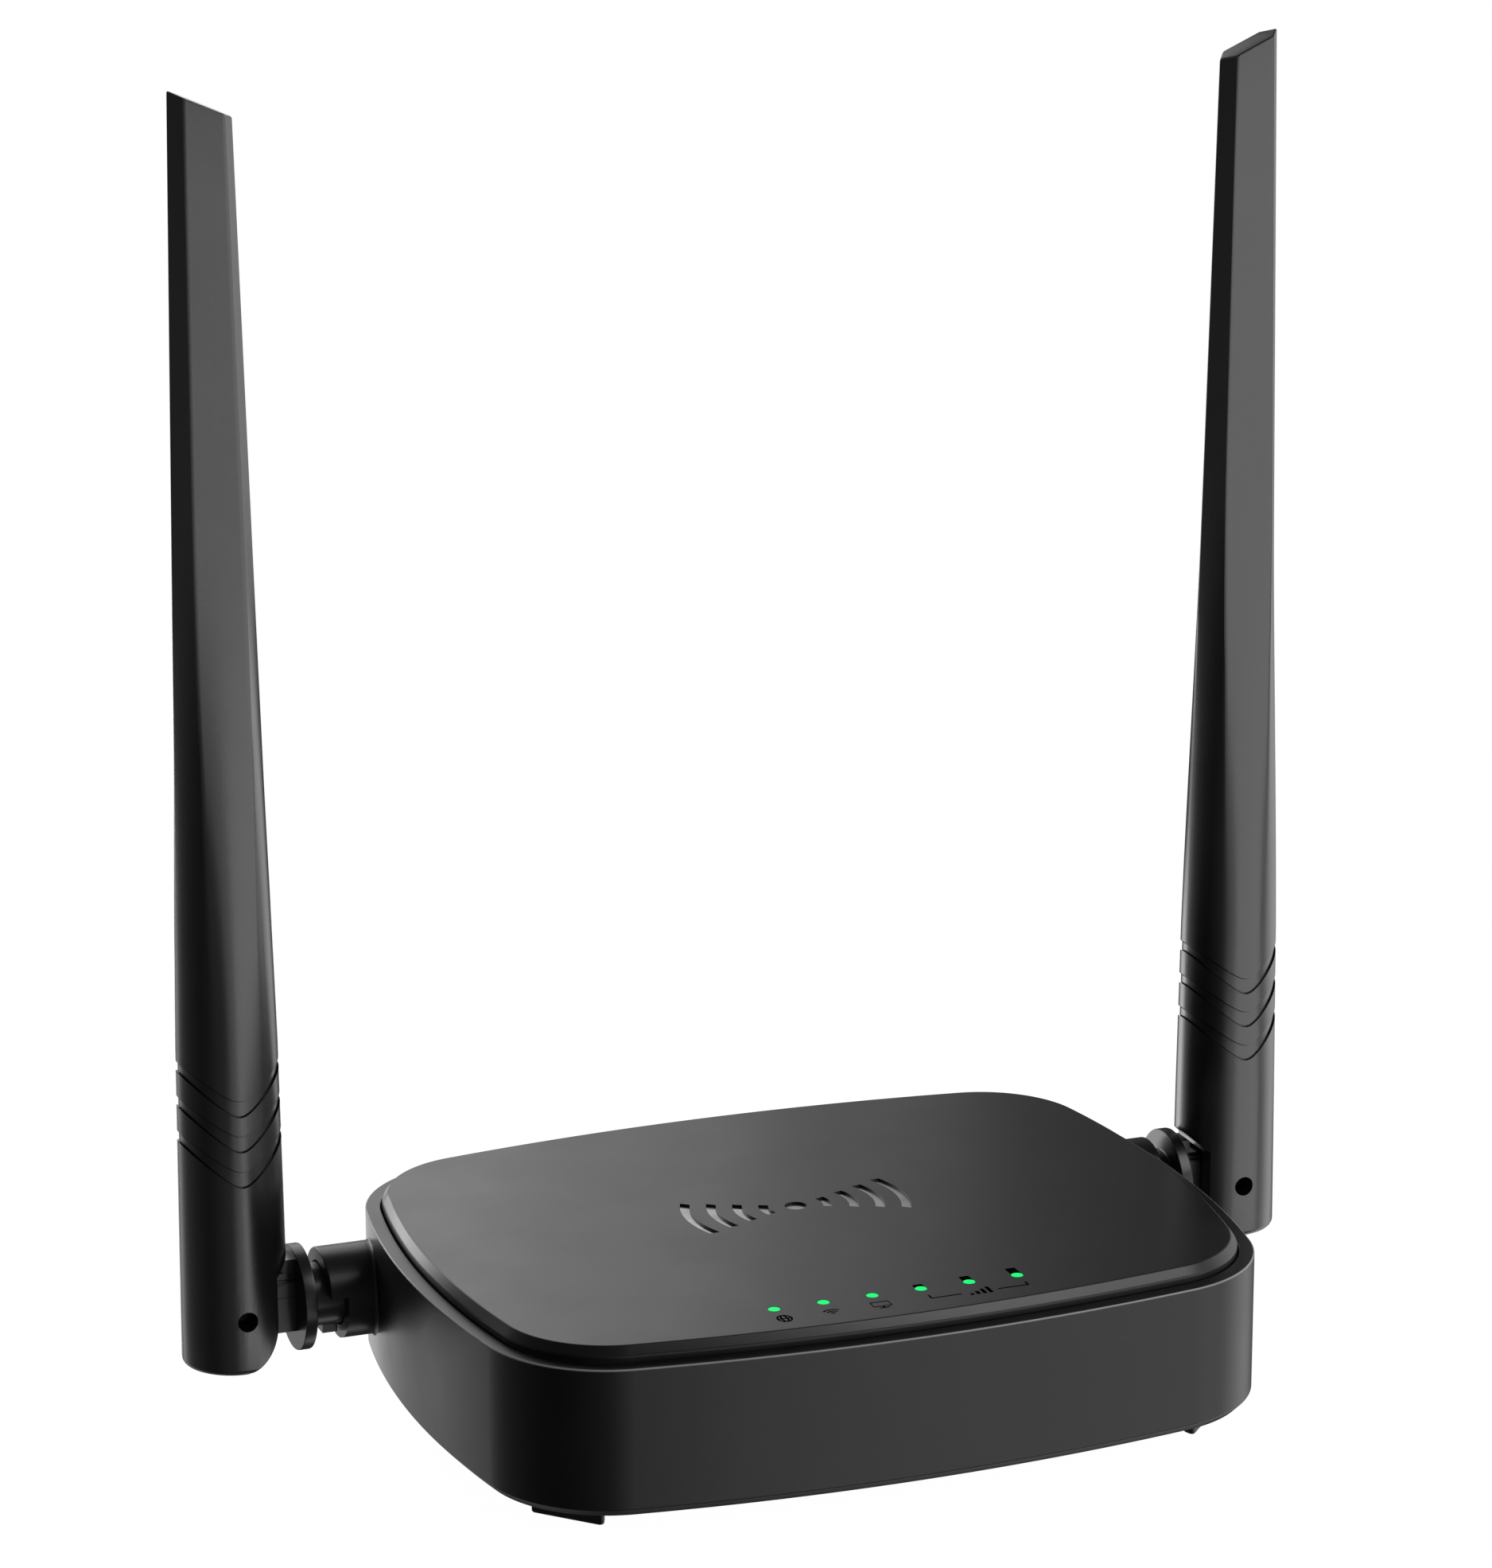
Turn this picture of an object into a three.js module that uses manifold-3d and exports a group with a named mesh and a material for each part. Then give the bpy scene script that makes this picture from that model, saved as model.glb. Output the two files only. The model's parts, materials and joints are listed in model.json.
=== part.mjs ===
// Compact two-antenna wireless router: a bowed tub with a raised lid, six light windows, a rear
// port bay, arc-shaped feet, and two blade antennas on knuckles that swivel and tilt.
// Millimetres. +Z is up, -Y is the front with the lights, the origin is the centre of the footprint
// on the surface that the feet stand on.
import * as THREE from "three";
import { mergeVertices } from "three/addons/utils/BufferGeometryUtils.js";
import Module from "manifold-3d";

// ---- driving dimensions ----------------------------------------------------------------------
const HALF_WIDTH = 63.5; // body, along X
const HALF_DEPTH = 49.42; // body, along Y
const FRONT_ARC = 296; // radius of the bowed front and rear
const SIDE_ARC = 168; // radius of the bowed left and right sides
const CORNER = 20; // corner radius

const FOOT_HEIGHT = 3.17; // underside of the base above the table
const FOOT = { outer: 15, inner: 13, from: 200, to: 247.5 }; // radii about the corner's centre, degrees
const EDGE_CHAMFER = 1.24; // around the underside
const RIM_TOP = 26.05; // flat ledge around the lid
const RIM_BREAK = 0.3; // small edge on the outside of the ledge
const WALL = 2.3;
const FLOOR = 2.0;
const FLOOR_TOP = FOOT_HEIGHT + FLOOR;

const LID_INSET = 2.6;
const LID_SHOULDER = 27.03; // top of the lid's upright edge
const LID_TOP = 28.41;
const LID_CHAMFER = 1.0; // how far the lid's sloping edge runs in
const LID_UNDERSIDE = 26.35;
const SKIRT = 1.6; // thickness of the lid's locating skirt
const SKIRT_BOTTOM = 23.8;

const LIGHTS = 6;
const LIGHT_PITCH = 7.704;
const LIGHT_Y = -36.9;
const LIGHT_HOLE = 1.15; // radius
const LIGHT_POST = 0.9; // radius
const BAR_SLOTS = 3; // the last windows have slots of growing length behind them

const BOARD_BOTTOM = 7.0;
const BOARD_TOP = 8.6;
const BOARD_INSET = 7.5;
const GAP = 0.1; // between pieces that rest on each other
const BOARD_SCREWS = [[-50, -12], [50, -12], [-50, 12], [50, 12]];
const BOARD_POST = { radius: 3, pilot: 1.3, clearance: 1.5 };
// The four case screws are mirror images. Each passes up through a post of the base into one of the lid.
const CASE_SCREW = {
  x: 41.14, y: 26.3, post: 3.4, postTop: 12, head: 3, headTop: 5.77, shank: 1.6, lidPost: 3.2,
  lidPostBottom: 12.3,
};

const BAY = { halfWidth: 38, bottom: 6.6, top: 23.6, face: 46.8, inner: 44.8, wallTop: 25.9 };
const BAY_RELIEF = { halfWidth: 42, front: 43 }; // where the lid's skirt makes room for the bay wall
const JACK = { halfWidth: 8, depth: 21.3, height: 13.5, front: 46.5 };
const SOCKET = { halfWidth: 5.9, bottom: 2.0, height: 7.2, depth: 13.5, latchHalf: 3.1, latch: 2.6 };
const WAN_X = 14;
const LAN_X = -5;
const POWER = { x: 31, halfWidth: 4.6, depth: 14.5, height: 11, bore: 3.2, pin: 1.05, rise: 5.9 };
const BUTTON = {
  x: -19, z: 14, radius: 2.2, hole: 2.5, proud: 0.6, collar: 3.3, collarFrom: 43.7, collarTo: 44.5, stem: 1.2,
  stemEnd: 42.6,
};
const SWITCH = { half: 3, front: 37.5, back: 41, plunger: 1.6, plungerEnd: 41.8 };
const SIM = { x: -30, halfWidth: 7.6, depth: 14, height: 1.9, slitHalf: 6.4 };

const AXIS_Y = 25.77; // both knuckles lie on this line, parallel to X
const AXIS_Z = 15.38;
const PIN_X = 83.3; // tilt axis of an antenna, from the centre plane
const SLEEVE = { radius: 7.2, bore: 5.2, end: 69.9, notch: 67.15, notchTop: 16.85, inner: 57.8 };
const PLUG = { radius: 4.9, inner: 56.2, barb: 5.7, barbWidth: 1.3, cable: 1.6 };
const FLANGE = { radius: 8.2, inner: 72.35, outer: 74.25 };
const KEY = { half: 1.4, reach: 6.1, inner: 67.45, outer: 69.8 };
const TONGUE = { half: 2.47, radius: 4.65 };
const STOP = { top: 22.2, end: 76.3 }; // block above the tongue that ends the inward tilt
const PIN = { radius: 1.3, hole: 1.575, half: 4.4 };
const LEAD = 0.57; // radius of the aerial leads

const TIP_Z = 199.1; // middle of the slanted tip
const TIP_SLOPE = 0.447;
const TIP_HALF = 4.775; // half-width at the tip
const TIP_DEPTH = 2.58; // half-depth at the tip
const FACET = 0.643; // flat front facet as a share of the width
const CHEVRON_TOP = 60;
const ANTENNA_BOTTOM = 6.7;
const SLOT = { half: 2.8, radius: 5.15 };
const CHEEK = { edge: 5.2, top: 21.1, flare: 3.2, rise: 2.85, cornerX: -1.7, cornerRadius: 6.9 };
const GROOVE = { depth: 0.28, step: 0.12, tips: [50.33, 44.83, 39.29], height: 2.6, rise: 5, spread: 1 };
const VENT = { count: 17, pitch: 3.6, width: 1.8, front: -30, rear: -9 };
const LABEL = { half: 24, front: 2, rear: 28, depth: 0.3 };

// ---- solids ----------------------------------------------------------------------------------
const wasm = await Module();
wasm.setup();

// A closed geometry as a solid that can be joined and cut.
function solid(geometry) {
  const bare = geometry.clone();
  bare.deleteAttribute("normal");
  bare.deleteAttribute("uv");
  const merged = mergeVertices(bare, 1e-4);
  const vertProperties = new Float32Array(merged.attributes.position.array);
  const triVerts = new Uint32Array(merged.index.array);
  return new wasm.Manifold(new wasm.Mesh({ numProp: 3, vertProperties, triVerts }));
}

// The geometry of a solid, with plain face normals.
function surface(body) {
  const mesh = body.getMesh();
  const geometry = new THREE.BufferGeometry();
  geometry.setAttribute("position", new THREE.BufferAttribute(new Float32Array(mesh.vertProperties), 3));
  geometry.setIndex(new THREE.BufferAttribute(new Uint32Array(mesh.triVerts), 1));
  const flat = geometry.toNonIndexed();
  flat.computeVertexNormals();
  return flat;
}

const joined = (first, ...rest) => rest.reduce((sum, piece) => sum.add(piece), first);
const cut = (first, ...rest) => rest.reduce((left, piece) => left.subtract(piece), first);

// A box from its lowest to its highest corner.
function block(x0, x1, y0, y1, z0, z1) {
  const geometry = new THREE.BoxGeometry(x1 - x0, y1 - y0, z1 - z0);
  return geometry.translate((x0 + x1) / 2, (y0 + y1) / 2, (z0 + z1) / 2);
}

function upright(radius, x, y, z0, z1, sides = 12) {
  const geometry = new THREE.CylinderGeometry(radius, radius, z1 - z0, sides);
  return geometry.rotateX(Math.PI / 2).translate(x, y, (z0 + z1) / 2);
}

function alongX(radius, x0, x1, y, z, sides = 24) {
  const geometry = new THREE.CylinderGeometry(radius, radius, x1 - x0, sides);
  return geometry.rotateZ(Math.PI / 2).translate((x0 + x1) / 2, y, z);
}

function alongY(radius, y0, y1, x, z, sides = 16) {
  const geometry = new THREE.CylinderGeometry(radius, radius, y1 - y0, sides);
  return geometry.translate(x, (y0 + y1) / 2, z);
}

// A profile drawn in X and Z, as thick as y0 to y1.
function slab(shape, y0, y1, curveSegments = 10) {
  const geometry = new THREE.ExtrudeGeometry(shape, { depth: y1 - y0, bevelEnabled: false, curveSegments });
  return geometry.rotateX(Math.PI / 2).translate(0, y1, 0);
}

const solidSlab = (shape, y0, y1) => solid(slab(shape, y0, y1));

// A closed skin over rings that all have the same number of points, with both ends filled in.
// The rings run anticlockwise from above and follow each other upwards.
function skin(rings) {
  const around = rings[0].length;
  const points = rings.flat();
  const faces = [];
  for (let r = 0; r + 1 < rings.length; r++) {
    for (let i = 0; i < around; i++) {
      const a = r * around + i;
      const b = r * around + ((i + 1) % around);
      faces.push(a, b, b + around, a, b + around, a + around);
    }
  }
  const last = (rings.length - 1) * around;
  const low = points.push(middle(rings[0])) - 1;
  const high = points.push(middle(rings[rings.length - 1])) - 1;
  for (let i = 0; i < around; i++) {
    const next = (i + 1) % around;
    faces.push(low, next, i, high, last + i, last + next);
  }
  const geometry = new THREE.BufferGeometry().setFromPoints(points);
  geometry.setIndex(faces);
  return geometry;
}

function middle(ring) {
  const sum = ring.reduce((total, point) => total.add(point), new THREE.Vector3());
  return sum.divideScalar(ring.length);
}

const smooth = (t) => THREE.MathUtils.smoothstep(t, 0, 1);

// ---- body outline ----------------------------------------------------------------------------
// Centre of the corner arc that touches the bowed front and the bowed side.
function cornerCentre() {
  const front = { y: FRONT_ARC - HALF_DEPTH, reach: FRONT_ARC - CORNER };
  const side = { x: SIDE_ARC - HALF_WIDTH, reach: SIDE_ARC - CORNER };
  let x = HALF_WIDTH - CORNER;
  let y = HALF_DEPTH - CORNER;
  for (let i = 0; i < 60; i++) {
    x = Math.sqrt(side.reach ** 2 - y ** 2) - side.x;
    y = Math.sqrt(front.reach ** 2 - x ** 2) - front.y;
  }
  return { x, y };
}

const CENTRE = cornerCentre();
const FRONT_TURN = Math.atan2(CENTRE.x, CENTRE.y + FRONT_ARC - HALF_DEPTH); // half-angle of the front arc
const SIDE_TURN = Math.atan2(CENTRE.y, CENTRE.x + SIDE_ARC - HALF_WIDTH); // half-angle of a side arc

function arc(cx, cy, radius, from, to, steps) {
  const points = [];
  for (let i = 0; i < steps; i++) {
    const turn = from + ((to - from) * i) / steps;
    points.push([cx + radius * Math.cos(turn), cy + radius * Math.sin(turn)]);
  }
  return points;
}

// The outline moved inwards by inset, anticlockwise from the right rear of the right side.
function outline(inset, bow = 6, turn = 4) {
  const quarter = Math.PI / 2;
  const corner = CORNER - inset;
  const right = [-(SIDE_ARC - HALF_WIDTH), 0, SIDE_ARC - inset];
  const rear = [0, -(FRONT_ARC - HALF_DEPTH), FRONT_ARC - inset];
  const half = [
    ...arc(...right, -SIDE_TURN, SIDE_TURN, bow),
    ...arc(CENTRE.x, CENTRE.y, corner, SIDE_TURN, quarter - FRONT_TURN, turn),
    ...arc(...rear, quarter - FRONT_TURN, quarter + FRONT_TURN, bow),
    ...arc(-CENTRE.x, CENTRE.y, corner, quarter + FRONT_TURN, 2 * quarter - SIDE_TURN, turn),
  ];
  return [...half, ...half.map(([x, y]) => [-x, -y])];
}

const ringAt = (inset, z) => outline(inset).map(([x, y]) => new THREE.Vector3(x, y, z));

// ---- housing ---------------------------------------------------------------------------------
const mirrorX = new THREE.Matrix4().makeScale(-1, 1, 1);

// Both mirror images of a solid that lies on the left.
function bothSides(left) {
  const right = surface(left).applyMatrix4(mirrorX);
  const order = right.attributes.position.array;
  for (let i = 0; i < order.length; i += 9) {
    for (let k = 0; k < 3; k++) {
      [order[i + 3 + k], order[i + 6 + k]] = [order[i + 6 + k], order[i + 3 + k]];
    }
  }
  return left.add(solid(right));
}

const caseScrewPlaces = [[-1, -1], [1, -1], [-1, 1], [1, 1]].map(([i, j]) => {
  return { x: i * CASE_SCREW.x, y: j * CASE_SCREW.y };
});

// The round sleeve on the left side, with a flare where it meets the wall.
function sleeve() {
  const profile = [
    [0, SLEEVE.inner], [SLEEVE.radius + 0.2, SLEEVE.inner], [SLEEVE.radius + 0.7, 60],
    [SLEEVE.radius + 0.7, 61.7], [SLEEVE.radius + 0.2, 62.2], [SLEEVE.radius, 63],
    [SLEEVE.radius, SLEEVE.end - 0.2], [SLEEVE.radius - 0.2, SLEEVE.end], [0, SLEEVE.end],
  ];
  const points = profile.map(([radius, x]) => new THREE.Vector2(radius, x));
  const turned = new THREE.LatheGeometry(points, 24).rotateZ(Math.PI / 2);
  return solid(turned.translate(0, AXIS_Y, AXIS_Z));
}

function baseShell() {
  const tub = solid(skin([
    ringAt(EDGE_CHAMFER, FOOT_HEIGHT), ringAt(0, FOOT_HEIGHT + EDGE_CHAMFER),
    ringAt(0, RIM_TOP - RIM_BREAK), ringAt(RIM_BREAK, RIM_TOP),
  ]));
  const hollow = solid(skin([ringAt(WALL, FLOOR_TOP), ringAt(WALL, RIM_TOP + 1)]));
  const { halfWidth, inner, wallTop } = BAY;
  const bayWall = block(-halfWidth - 2, halfWidth + 2, inner, HALF_DEPTH - 2, FLOOR_TOP - 1, wallTop);
  const insideTub = solid(skin([ringAt(1, FOOT_HEIGHT + 1), ringAt(1, RIM_TOP - 0.2)]));
  let shell = joined(cut(tub, hollow), solid(bayWall).intersect(insideTub), bothSides(sleeve()));

  const bore = alongX(SLEEVE.bore, -SLEEVE.end - 1, -SLEEVE.inner + 1, AXIS_Y, AXIS_Z);
  const notch = block(-SLEEVE.end - 1, -SLEEVE.notch, AXIS_Y - 10, AXIS_Y + 10, 0, SLEEVE.notchTop);
  shell = cut(shell, bothSides(solid(bore)), bothSides(solid(notch)));

  const { post, postTop, head, headTop, shank } = CASE_SCREW;
  for (const { x, y } of caseScrewPlaces) {
    shell = shell.add(solid(upright(post, x, y, FLOOR_TOP - 1, postTop)));
    shell = cut(shell, solid(upright(shank, x, y, 0, postTop + 1)), solid(upright(head, x, y, 0, headTop)));
  }
  for (const [x, y] of BOARD_SCREWS) {
    shell = shell.add(solid(upright(BOARD_POST.radius, x, y, FLOOR_TOP - 1, BOARD_BOTTOM - GAP)));
    shell = cut(shell, solid(upright(BOARD_POST.pilot, x, y, FLOOR_TOP, BOARD_TOP)));
  }
  return surface(cut(shell, ...bayOpenings(), ...ventSlots(), labelRecess()));
}

function bayOpenings() {
  const { halfWidth, bottom, top, face } = BAY;
  const mouth = (x, half, z0, z1) => solid(block(x - half, x + half, BAY.inner - 1, HALF_DEPTH, z0, z1));
  const low = BOARD_TOP - 0.2;
  return [
    solid(block(-halfWidth, halfWidth, face, HALF_DEPTH + 1, bottom, top)),
    mouth(WAN_X, JACK.halfWidth + 0.3, low, BOARD_TOP + JACK.height + 0.4),
    mouth(LAN_X, JACK.halfWidth + 0.3, low, BOARD_TOP + JACK.height + 0.4),
    mouth(POWER.x, POWER.halfWidth + 0.3, low, BOARD_TOP + POWER.height + 0.4),
    mouth(SIM.x, SIM.halfWidth, BOARD_TOP + 0.5, BOARD_TOP + SIM.height + 0.3),
    solid(alongY(BUTTON.hole, BAY.inner - 1, HALF_DEPTH, BUTTON.x, BUTTON.z)),
  ];
}

function ventSlots() {
  return Array.from({ length: VENT.count }, (_, i) => {
    const x = (i - (VENT.count - 1) / 2) * VENT.pitch;
    return solid(block(x - VENT.width / 2, x + VENT.width / 2, VENT.front, VENT.rear, 0, FLOOR_TOP + 1));
  });
}

function labelRecess() {
  return solid(block(-LABEL.half, LABEL.half, LABEL.front, LABEL.rear, 0, FOOT_HEIGHT + LABEL.depth));
}

const lightX = (i) => (i - (LIGHTS - 1) / 2) * LIGHT_PITCH;

function topCover() {
  const plate = solid(skin([
    ringAt(LID_INSET, SKIRT_BOTTOM), ringAt(LID_INSET, LID_SHOULDER),
    ringAt(LID_INSET + LID_CHAMFER, LID_TOP),
  ]));
  const inset = LID_INSET + SKIRT;
  const underside = skin([ringAt(inset, SKIRT_BOTTOM - 1), ringAt(inset, LID_UNDERSIDE)]);
  const { halfWidth, front } = BAY_RELIEF;
  const bayRelief = block(-halfWidth, halfWidth, front, HALF_DEPTH, SKIRT_BOTTOM - 1, LID_UNDERSIDE);
  let cover = cut(plate, solid(underside), solid(bayRelief));
  const { lidPost, lidPostBottom, shank } = CASE_SCREW;
  for (const { x, y } of caseScrewPlaces) {
    cover = cover.add(solid(upright(lidPost, x, y, lidPostBottom, LID_UNDERSIDE + 0.5)));
    cover = cut(cover, solid(upright(shank, x, y, lidPostBottom - 1, 20)));
  }
  for (let i = 0; i < LIGHTS; i++) {
    const x = lightX(i);
    cover = cut(cover, solid(upright(LIGHT_HOLE, x, LIGHT_Y, LID_UNDERSIDE - 1, LID_TOP + 1, 12)));
    const slot = i - (LIGHTS - BAR_SLOTS) + 1;
    if (slot > 0) {
      const far = LIGHT_Y + slot + 0.2;
      const recess = block(x - 0.8, x + 0.8, LIGHT_Y, far, LID_TOP - 0.9, LID_TOP + 1);
      cover = cut(cover, solid(recess));
    }
  }
  return surface(cover);
}

// An arc-shaped foot under the left front corner; the others are its mirror images.
function foot() {
  const from = THREE.MathUtils.degToRad(FOOT.from);
  const to = THREE.MathUtils.degToRad(FOOT.to);
  const shape = new THREE.Shape();
  shape.absarc(0, 0, FOOT.outer, from, to, false);
  shape.absarc(0, 0, FOOT.inner, to, from, true);
  const geometry = new THREE.ExtrudeGeometry(shape, {
    depth: FOOT_HEIGHT - GAP, bevelEnabled: false, curveSegments: 6,
  });
  return geometry.translate(-CENTRE.x, -CENTRE.y, 0);
}

function lightGuide() {
  let guide = solid(block(lightX(0) - 1.6, lightX(LIGHTS - 1) + 1.6, LIGHT_Y - 0.8, LIGHT_Y + 0.8, 20, 22));
  for (let i = 0; i < LIGHTS; i++) {
    guide = guide.add(solid(upright(LIGHT_POST, lightX(i), LIGHT_Y, BOARD_TOP + 1.2, LID_TOP - 0.05, 8)));
  }
  return surface(guide);
}

// A screw that points up: head at the bottom, with a cross recess.
function screw(headRadius, headHeight, shankRadius, length) {
  const profile = [[0, 0], [headRadius - 0.5, 0], [headRadius, 0.5], [headRadius, headHeight],
    [shankRadius, headHeight], [shankRadius, length - 0.8], [0, length]];
  const turned = new THREE.LatheGeometry(profile.map(([r, z]) => new THREE.Vector2(r, z)), 10);
  const arm = headRadius * 0.55;
  const recess = joined(
    solid(block(-arm, arm, -0.3, 0.3, -1, headHeight * 0.6)),
    solid(block(-0.3, 0.3, -arm, arm, -1, headHeight * 0.6)),
  );
  return surface(cut(solid(turned.rotateX(Math.PI / 2)), recess));
}

// ---- electronics -----------------------------------------------------------------------------
function mainBoard() {
  const shape = new THREE.Shape(outline(BOARD_INSET, 4, 3).map(([x, y]) => new THREE.Vector2(x, y)));
  const sheet = new THREE.ExtrudeGeometry(shape, { depth: BOARD_TOP - BOARD_BOTTOM, bevelEnabled: false });
  let board = solid(sheet.translate(0, 0, BOARD_BOTTOM));
  board = board.add(solid(block(-37, 37, 38, BAY.inner - 0.5, BOARD_BOTTOM, BOARD_TOP)));
  for (const { x, y } of caseScrewPlaces) {
    board = cut(board, solid(upright(CASE_SCREW.post + 0.4, x, y, 0, 20)));
  }
  for (const [x, y] of BOARD_SCREWS) {
    board = cut(board, solid(upright(BOARD_POST.clearance, x, y, 0, 20)));
  }
  return surface(board);
}

// A network jack with its front on the port bay and an open socket with a latch groove.
function networkJack(x) {
  const base = BOARD_TOP + GAP;
  const { halfWidth, depth, height, front } = JACK;
  const body = block(x - halfWidth, x + halfWidth, front - depth, front, base, base + height);
  const low = base + SOCKET.bottom;
  const back = front - SOCKET.depth;
  const cavity = block(x - SOCKET.halfWidth, x + SOCKET.halfWidth, back, front + 1, low, low + SOCKET.height);
  const latchTop = low + SOCKET.height + SOCKET.latch;
  const latch = block(x - SOCKET.latchHalf, x + SOCKET.latchHalf, back, front + 1, low + 1, latchTop);
  return surface(cut(solid(body), solid(cavity), solid(latch)));
}

function powerJack() {
  const base = BOARD_TOP + GAP;
  const front = JACK.front;
  const body = block(
    POWER.x - POWER.halfWidth, POWER.x + POWER.halfWidth, front - POWER.depth, front, base, base + POWER.height,
  );
  const bore = alongY(POWER.bore, front - 10, front + 1, POWER.x, base + POWER.rise, 20);
  return surface(cut(solid(body), solid(bore)));
}

function powerPin() {
  const { x, pin, rise } = POWER;
  return alongY(pin, JACK.front - 9.9, JACK.front - 0.8, x, BOARD_TOP + GAP + rise, 12);
}

// The button: a cap that stands proud of the bay, a collar behind the wall and a stem to the switch.
function buttonCap() {
  const { x, z, radius, collar, collarFrom, collarTo, stem, stemEnd, proud } = BUTTON;
  const end = BAY.face + proud;
  const profile = [
    [0, 0], [radius - 0.4, 0], [radius, 0.4], [radius, end - collarTo], [collar, end - collarTo],
    [collar, end - collarFrom], [stem, end - collarFrom], [stem, end - stemEnd], [0, end - stemEnd],
  ];
  const turned = new THREE.LatheGeometry(profile.map(([r, y]) => new THREE.Vector2(r, y)), 16);
  return turned.rotateX(Math.PI).translate(x, end, z);
}

function buttonSwitch() {
  const { x, z } = BUTTON;
  const { half, front, back, plunger, plungerEnd } = SWITCH;
  const body = block(x - half, x + half, front, back, BOARD_TOP + GAP, z + half);
  return surface(joined(solid(body), solid(alongY(plunger, back - 1, plungerEnd, x, z, 12))));
}

function simSocket() {
  const { x, halfWidth, depth, height, slitHalf } = SIM;
  const base = BOARD_TOP + GAP;
  const mouth = BAY.inner - 0.4;
  const cage = block(x - halfWidth, x + halfWidth, mouth - depth, mouth, base, base + height);
  const far = mouth - depth + 1.4;
  const slit = block(x - slitHalf, x + slitHalf, far, BAY.inner, base + 0.5, base + height - 0.4);
  return surface(cut(solid(cage), solid(slit)));
}

// A packaged part that stands on the board.
const onBoard = (x, y, width, depth, height) => {
  const base = BOARD_TOP + GAP;
  return block(x - width / 2, x + width / 2, y - depth / 2, y + depth / 2, base, base + height);
};

// A shield can: a lid with a stepped rim where its fence shows.
function shieldCan(x, y, width, depth, height) {
  return surface(joined(
    solid(onBoard(x, y, width, depth, height * 0.6)),
    solid(onBoard(x, y, width - 1.2, depth - 1.2, height)),
  ));
}

function modemModule(x, y) {
  return surface(joined(solid(onBoard(x, y, 30, 30, 0.9)), solid(onBoard(x, y, 26, 26, 3))));
}

function capacitor(x, y) {
  const base = BOARD_TOP + GAP;
  const profile = [[0, 0], [3.15, 0], [3.15, 0.9], [2.85, 1.2], [3.15, 1.5], [3.15, 7.2], [2.8, 7.5], [0, 7.5]];
  const turned = new THREE.LatheGeometry(profile.map(([r, z]) => new THREE.Vector2(r, z)), 12);
  return turned.rotateX(Math.PI / 2).translate(x, y, base);
}

// The left aerial lead, from its board connector into the bore of the knuckle.
function aerialLead() {
  const route = new THREE.CatmullRomCurve3([
    new THREE.Vector3(-47, 19, BOARD_TOP + 2), new THREE.Vector3(-47.6, 20, 13),
    new THREE.Vector3(-51, 24.2, AXIS_Z), new THREE.Vector3(-55, AXIS_Y, AXIS_Z),
    new THREE.Vector3(-62, AXIS_Y, AXIS_Z), new THREE.Vector3(-69, AXIS_Y, AXIS_Z),
  ]);
  const section = new THREE.Shape().absarc(0, 0, LEAD, 0, 2 * Math.PI, false);
  return new THREE.ExtrudeGeometry(section, { steps: 16, extrudePath: route, curveSegments: 4 });
}

// ---- knuckle and antenna, left side ----------------------------------------------------------
function knuckle() {
  const profile = [
    [0, PLUG.inner], [PLUG.barb - 0.5, PLUG.inner], [PLUG.barb, PLUG.inner + 0.5],
    [PLUG.barb, PLUG.inner + PLUG.barbWidth], [PLUG.radius, PLUG.inner + PLUG.barbWidth],
    [PLUG.radius, FLANGE.inner], [FLANGE.radius - 0.3, FLANGE.inner],
    [FLANGE.radius, FLANGE.inner + 0.3], [FLANGE.radius, FLANGE.outer - 0.3],
    [FLANGE.radius - 0.3, FLANGE.outer], [0, FLANGE.outer],
  ];
  const points = profile.map(([radius, x]) => new THREE.Vector2(radius, x));
  const turned = new THREE.LatheGeometry(points, 24).rotateZ(Math.PI / 2).translate(0, AXIS_Y, AXIS_Z);
  const key = block(
    -KEY.outer, -KEY.inner, AXIS_Y - KEY.half, AXIS_Y + KEY.half, AXIS_Z - KEY.reach, AXIS_Z - PLUG.radius + 1,
  );
  const { radius, half } = TONGUE;
  const tab = new THREE.Shape();
  tab.moveTo(-FLANGE.outer + 0.5, AXIS_Z - radius);
  tab.lineTo(-FLANGE.outer + 0.5, AXIS_Z + radius);
  tab.lineTo(-PIN_X, AXIS_Z + radius);
  tab.absarc(-PIN_X, AXIS_Z, radius, Math.PI / 2, (3 * Math.PI) / 2, false);
  const stop = new THREE.Shape();
  stop.moveTo(-FLANGE.outer + 0.5, AXIS_Z + radius - 0.5);
  stop.lineTo(-FLANGE.outer + 0.5, STOP.top);
  stop.lineTo(-STOP.end, STOP.top);
  stop.lineTo(-STOP.end, AXIS_Z + radius + 0.6);
  stop.lineTo(-STOP.end + 0.5, AXIS_Z + radius - 0.5);
  const front = AXIS_Y - half;
  const back = AXIS_Y + half;
  const body = joined(solid(turned), solid(key), solidSlab(tab, front, back), solidSlab(stop, front, back));
  const hole = alongY(PIN.hole, front - 1, back + 1, -PIN_X, AXIS_Z, 20);
  const cable = alongX(PLUG.cable, -FLANGE.outer + 1, -PLUG.inner + 1, AXIS_Y, AXIS_Z, 12);
  return surface(cut(body, solid(hole), solid(cable)));
}

const antennaHalf = (z) => {
  const blade = TIP_HALF + 0.0207 * (TIP_Z + 2 - Math.max(z, 57.3));
  return blade + 0.0093 * Math.max(0, 57.3 - z);
};

// Half-depths of the faceted blade and of the round root, and how round the section is at z.
function antennaSection(z) {
  const width = antennaHalf(z);
  const blade = TIP_DEPTH + 0.0165 * (TIP_Z + 2 - z);
  const root = width * (0.905 + 0.075 * smooth((57 - z) / 30));
  return { width, blade, root, round: smooth((138 - z) / (138 - 57)) };
}

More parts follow.
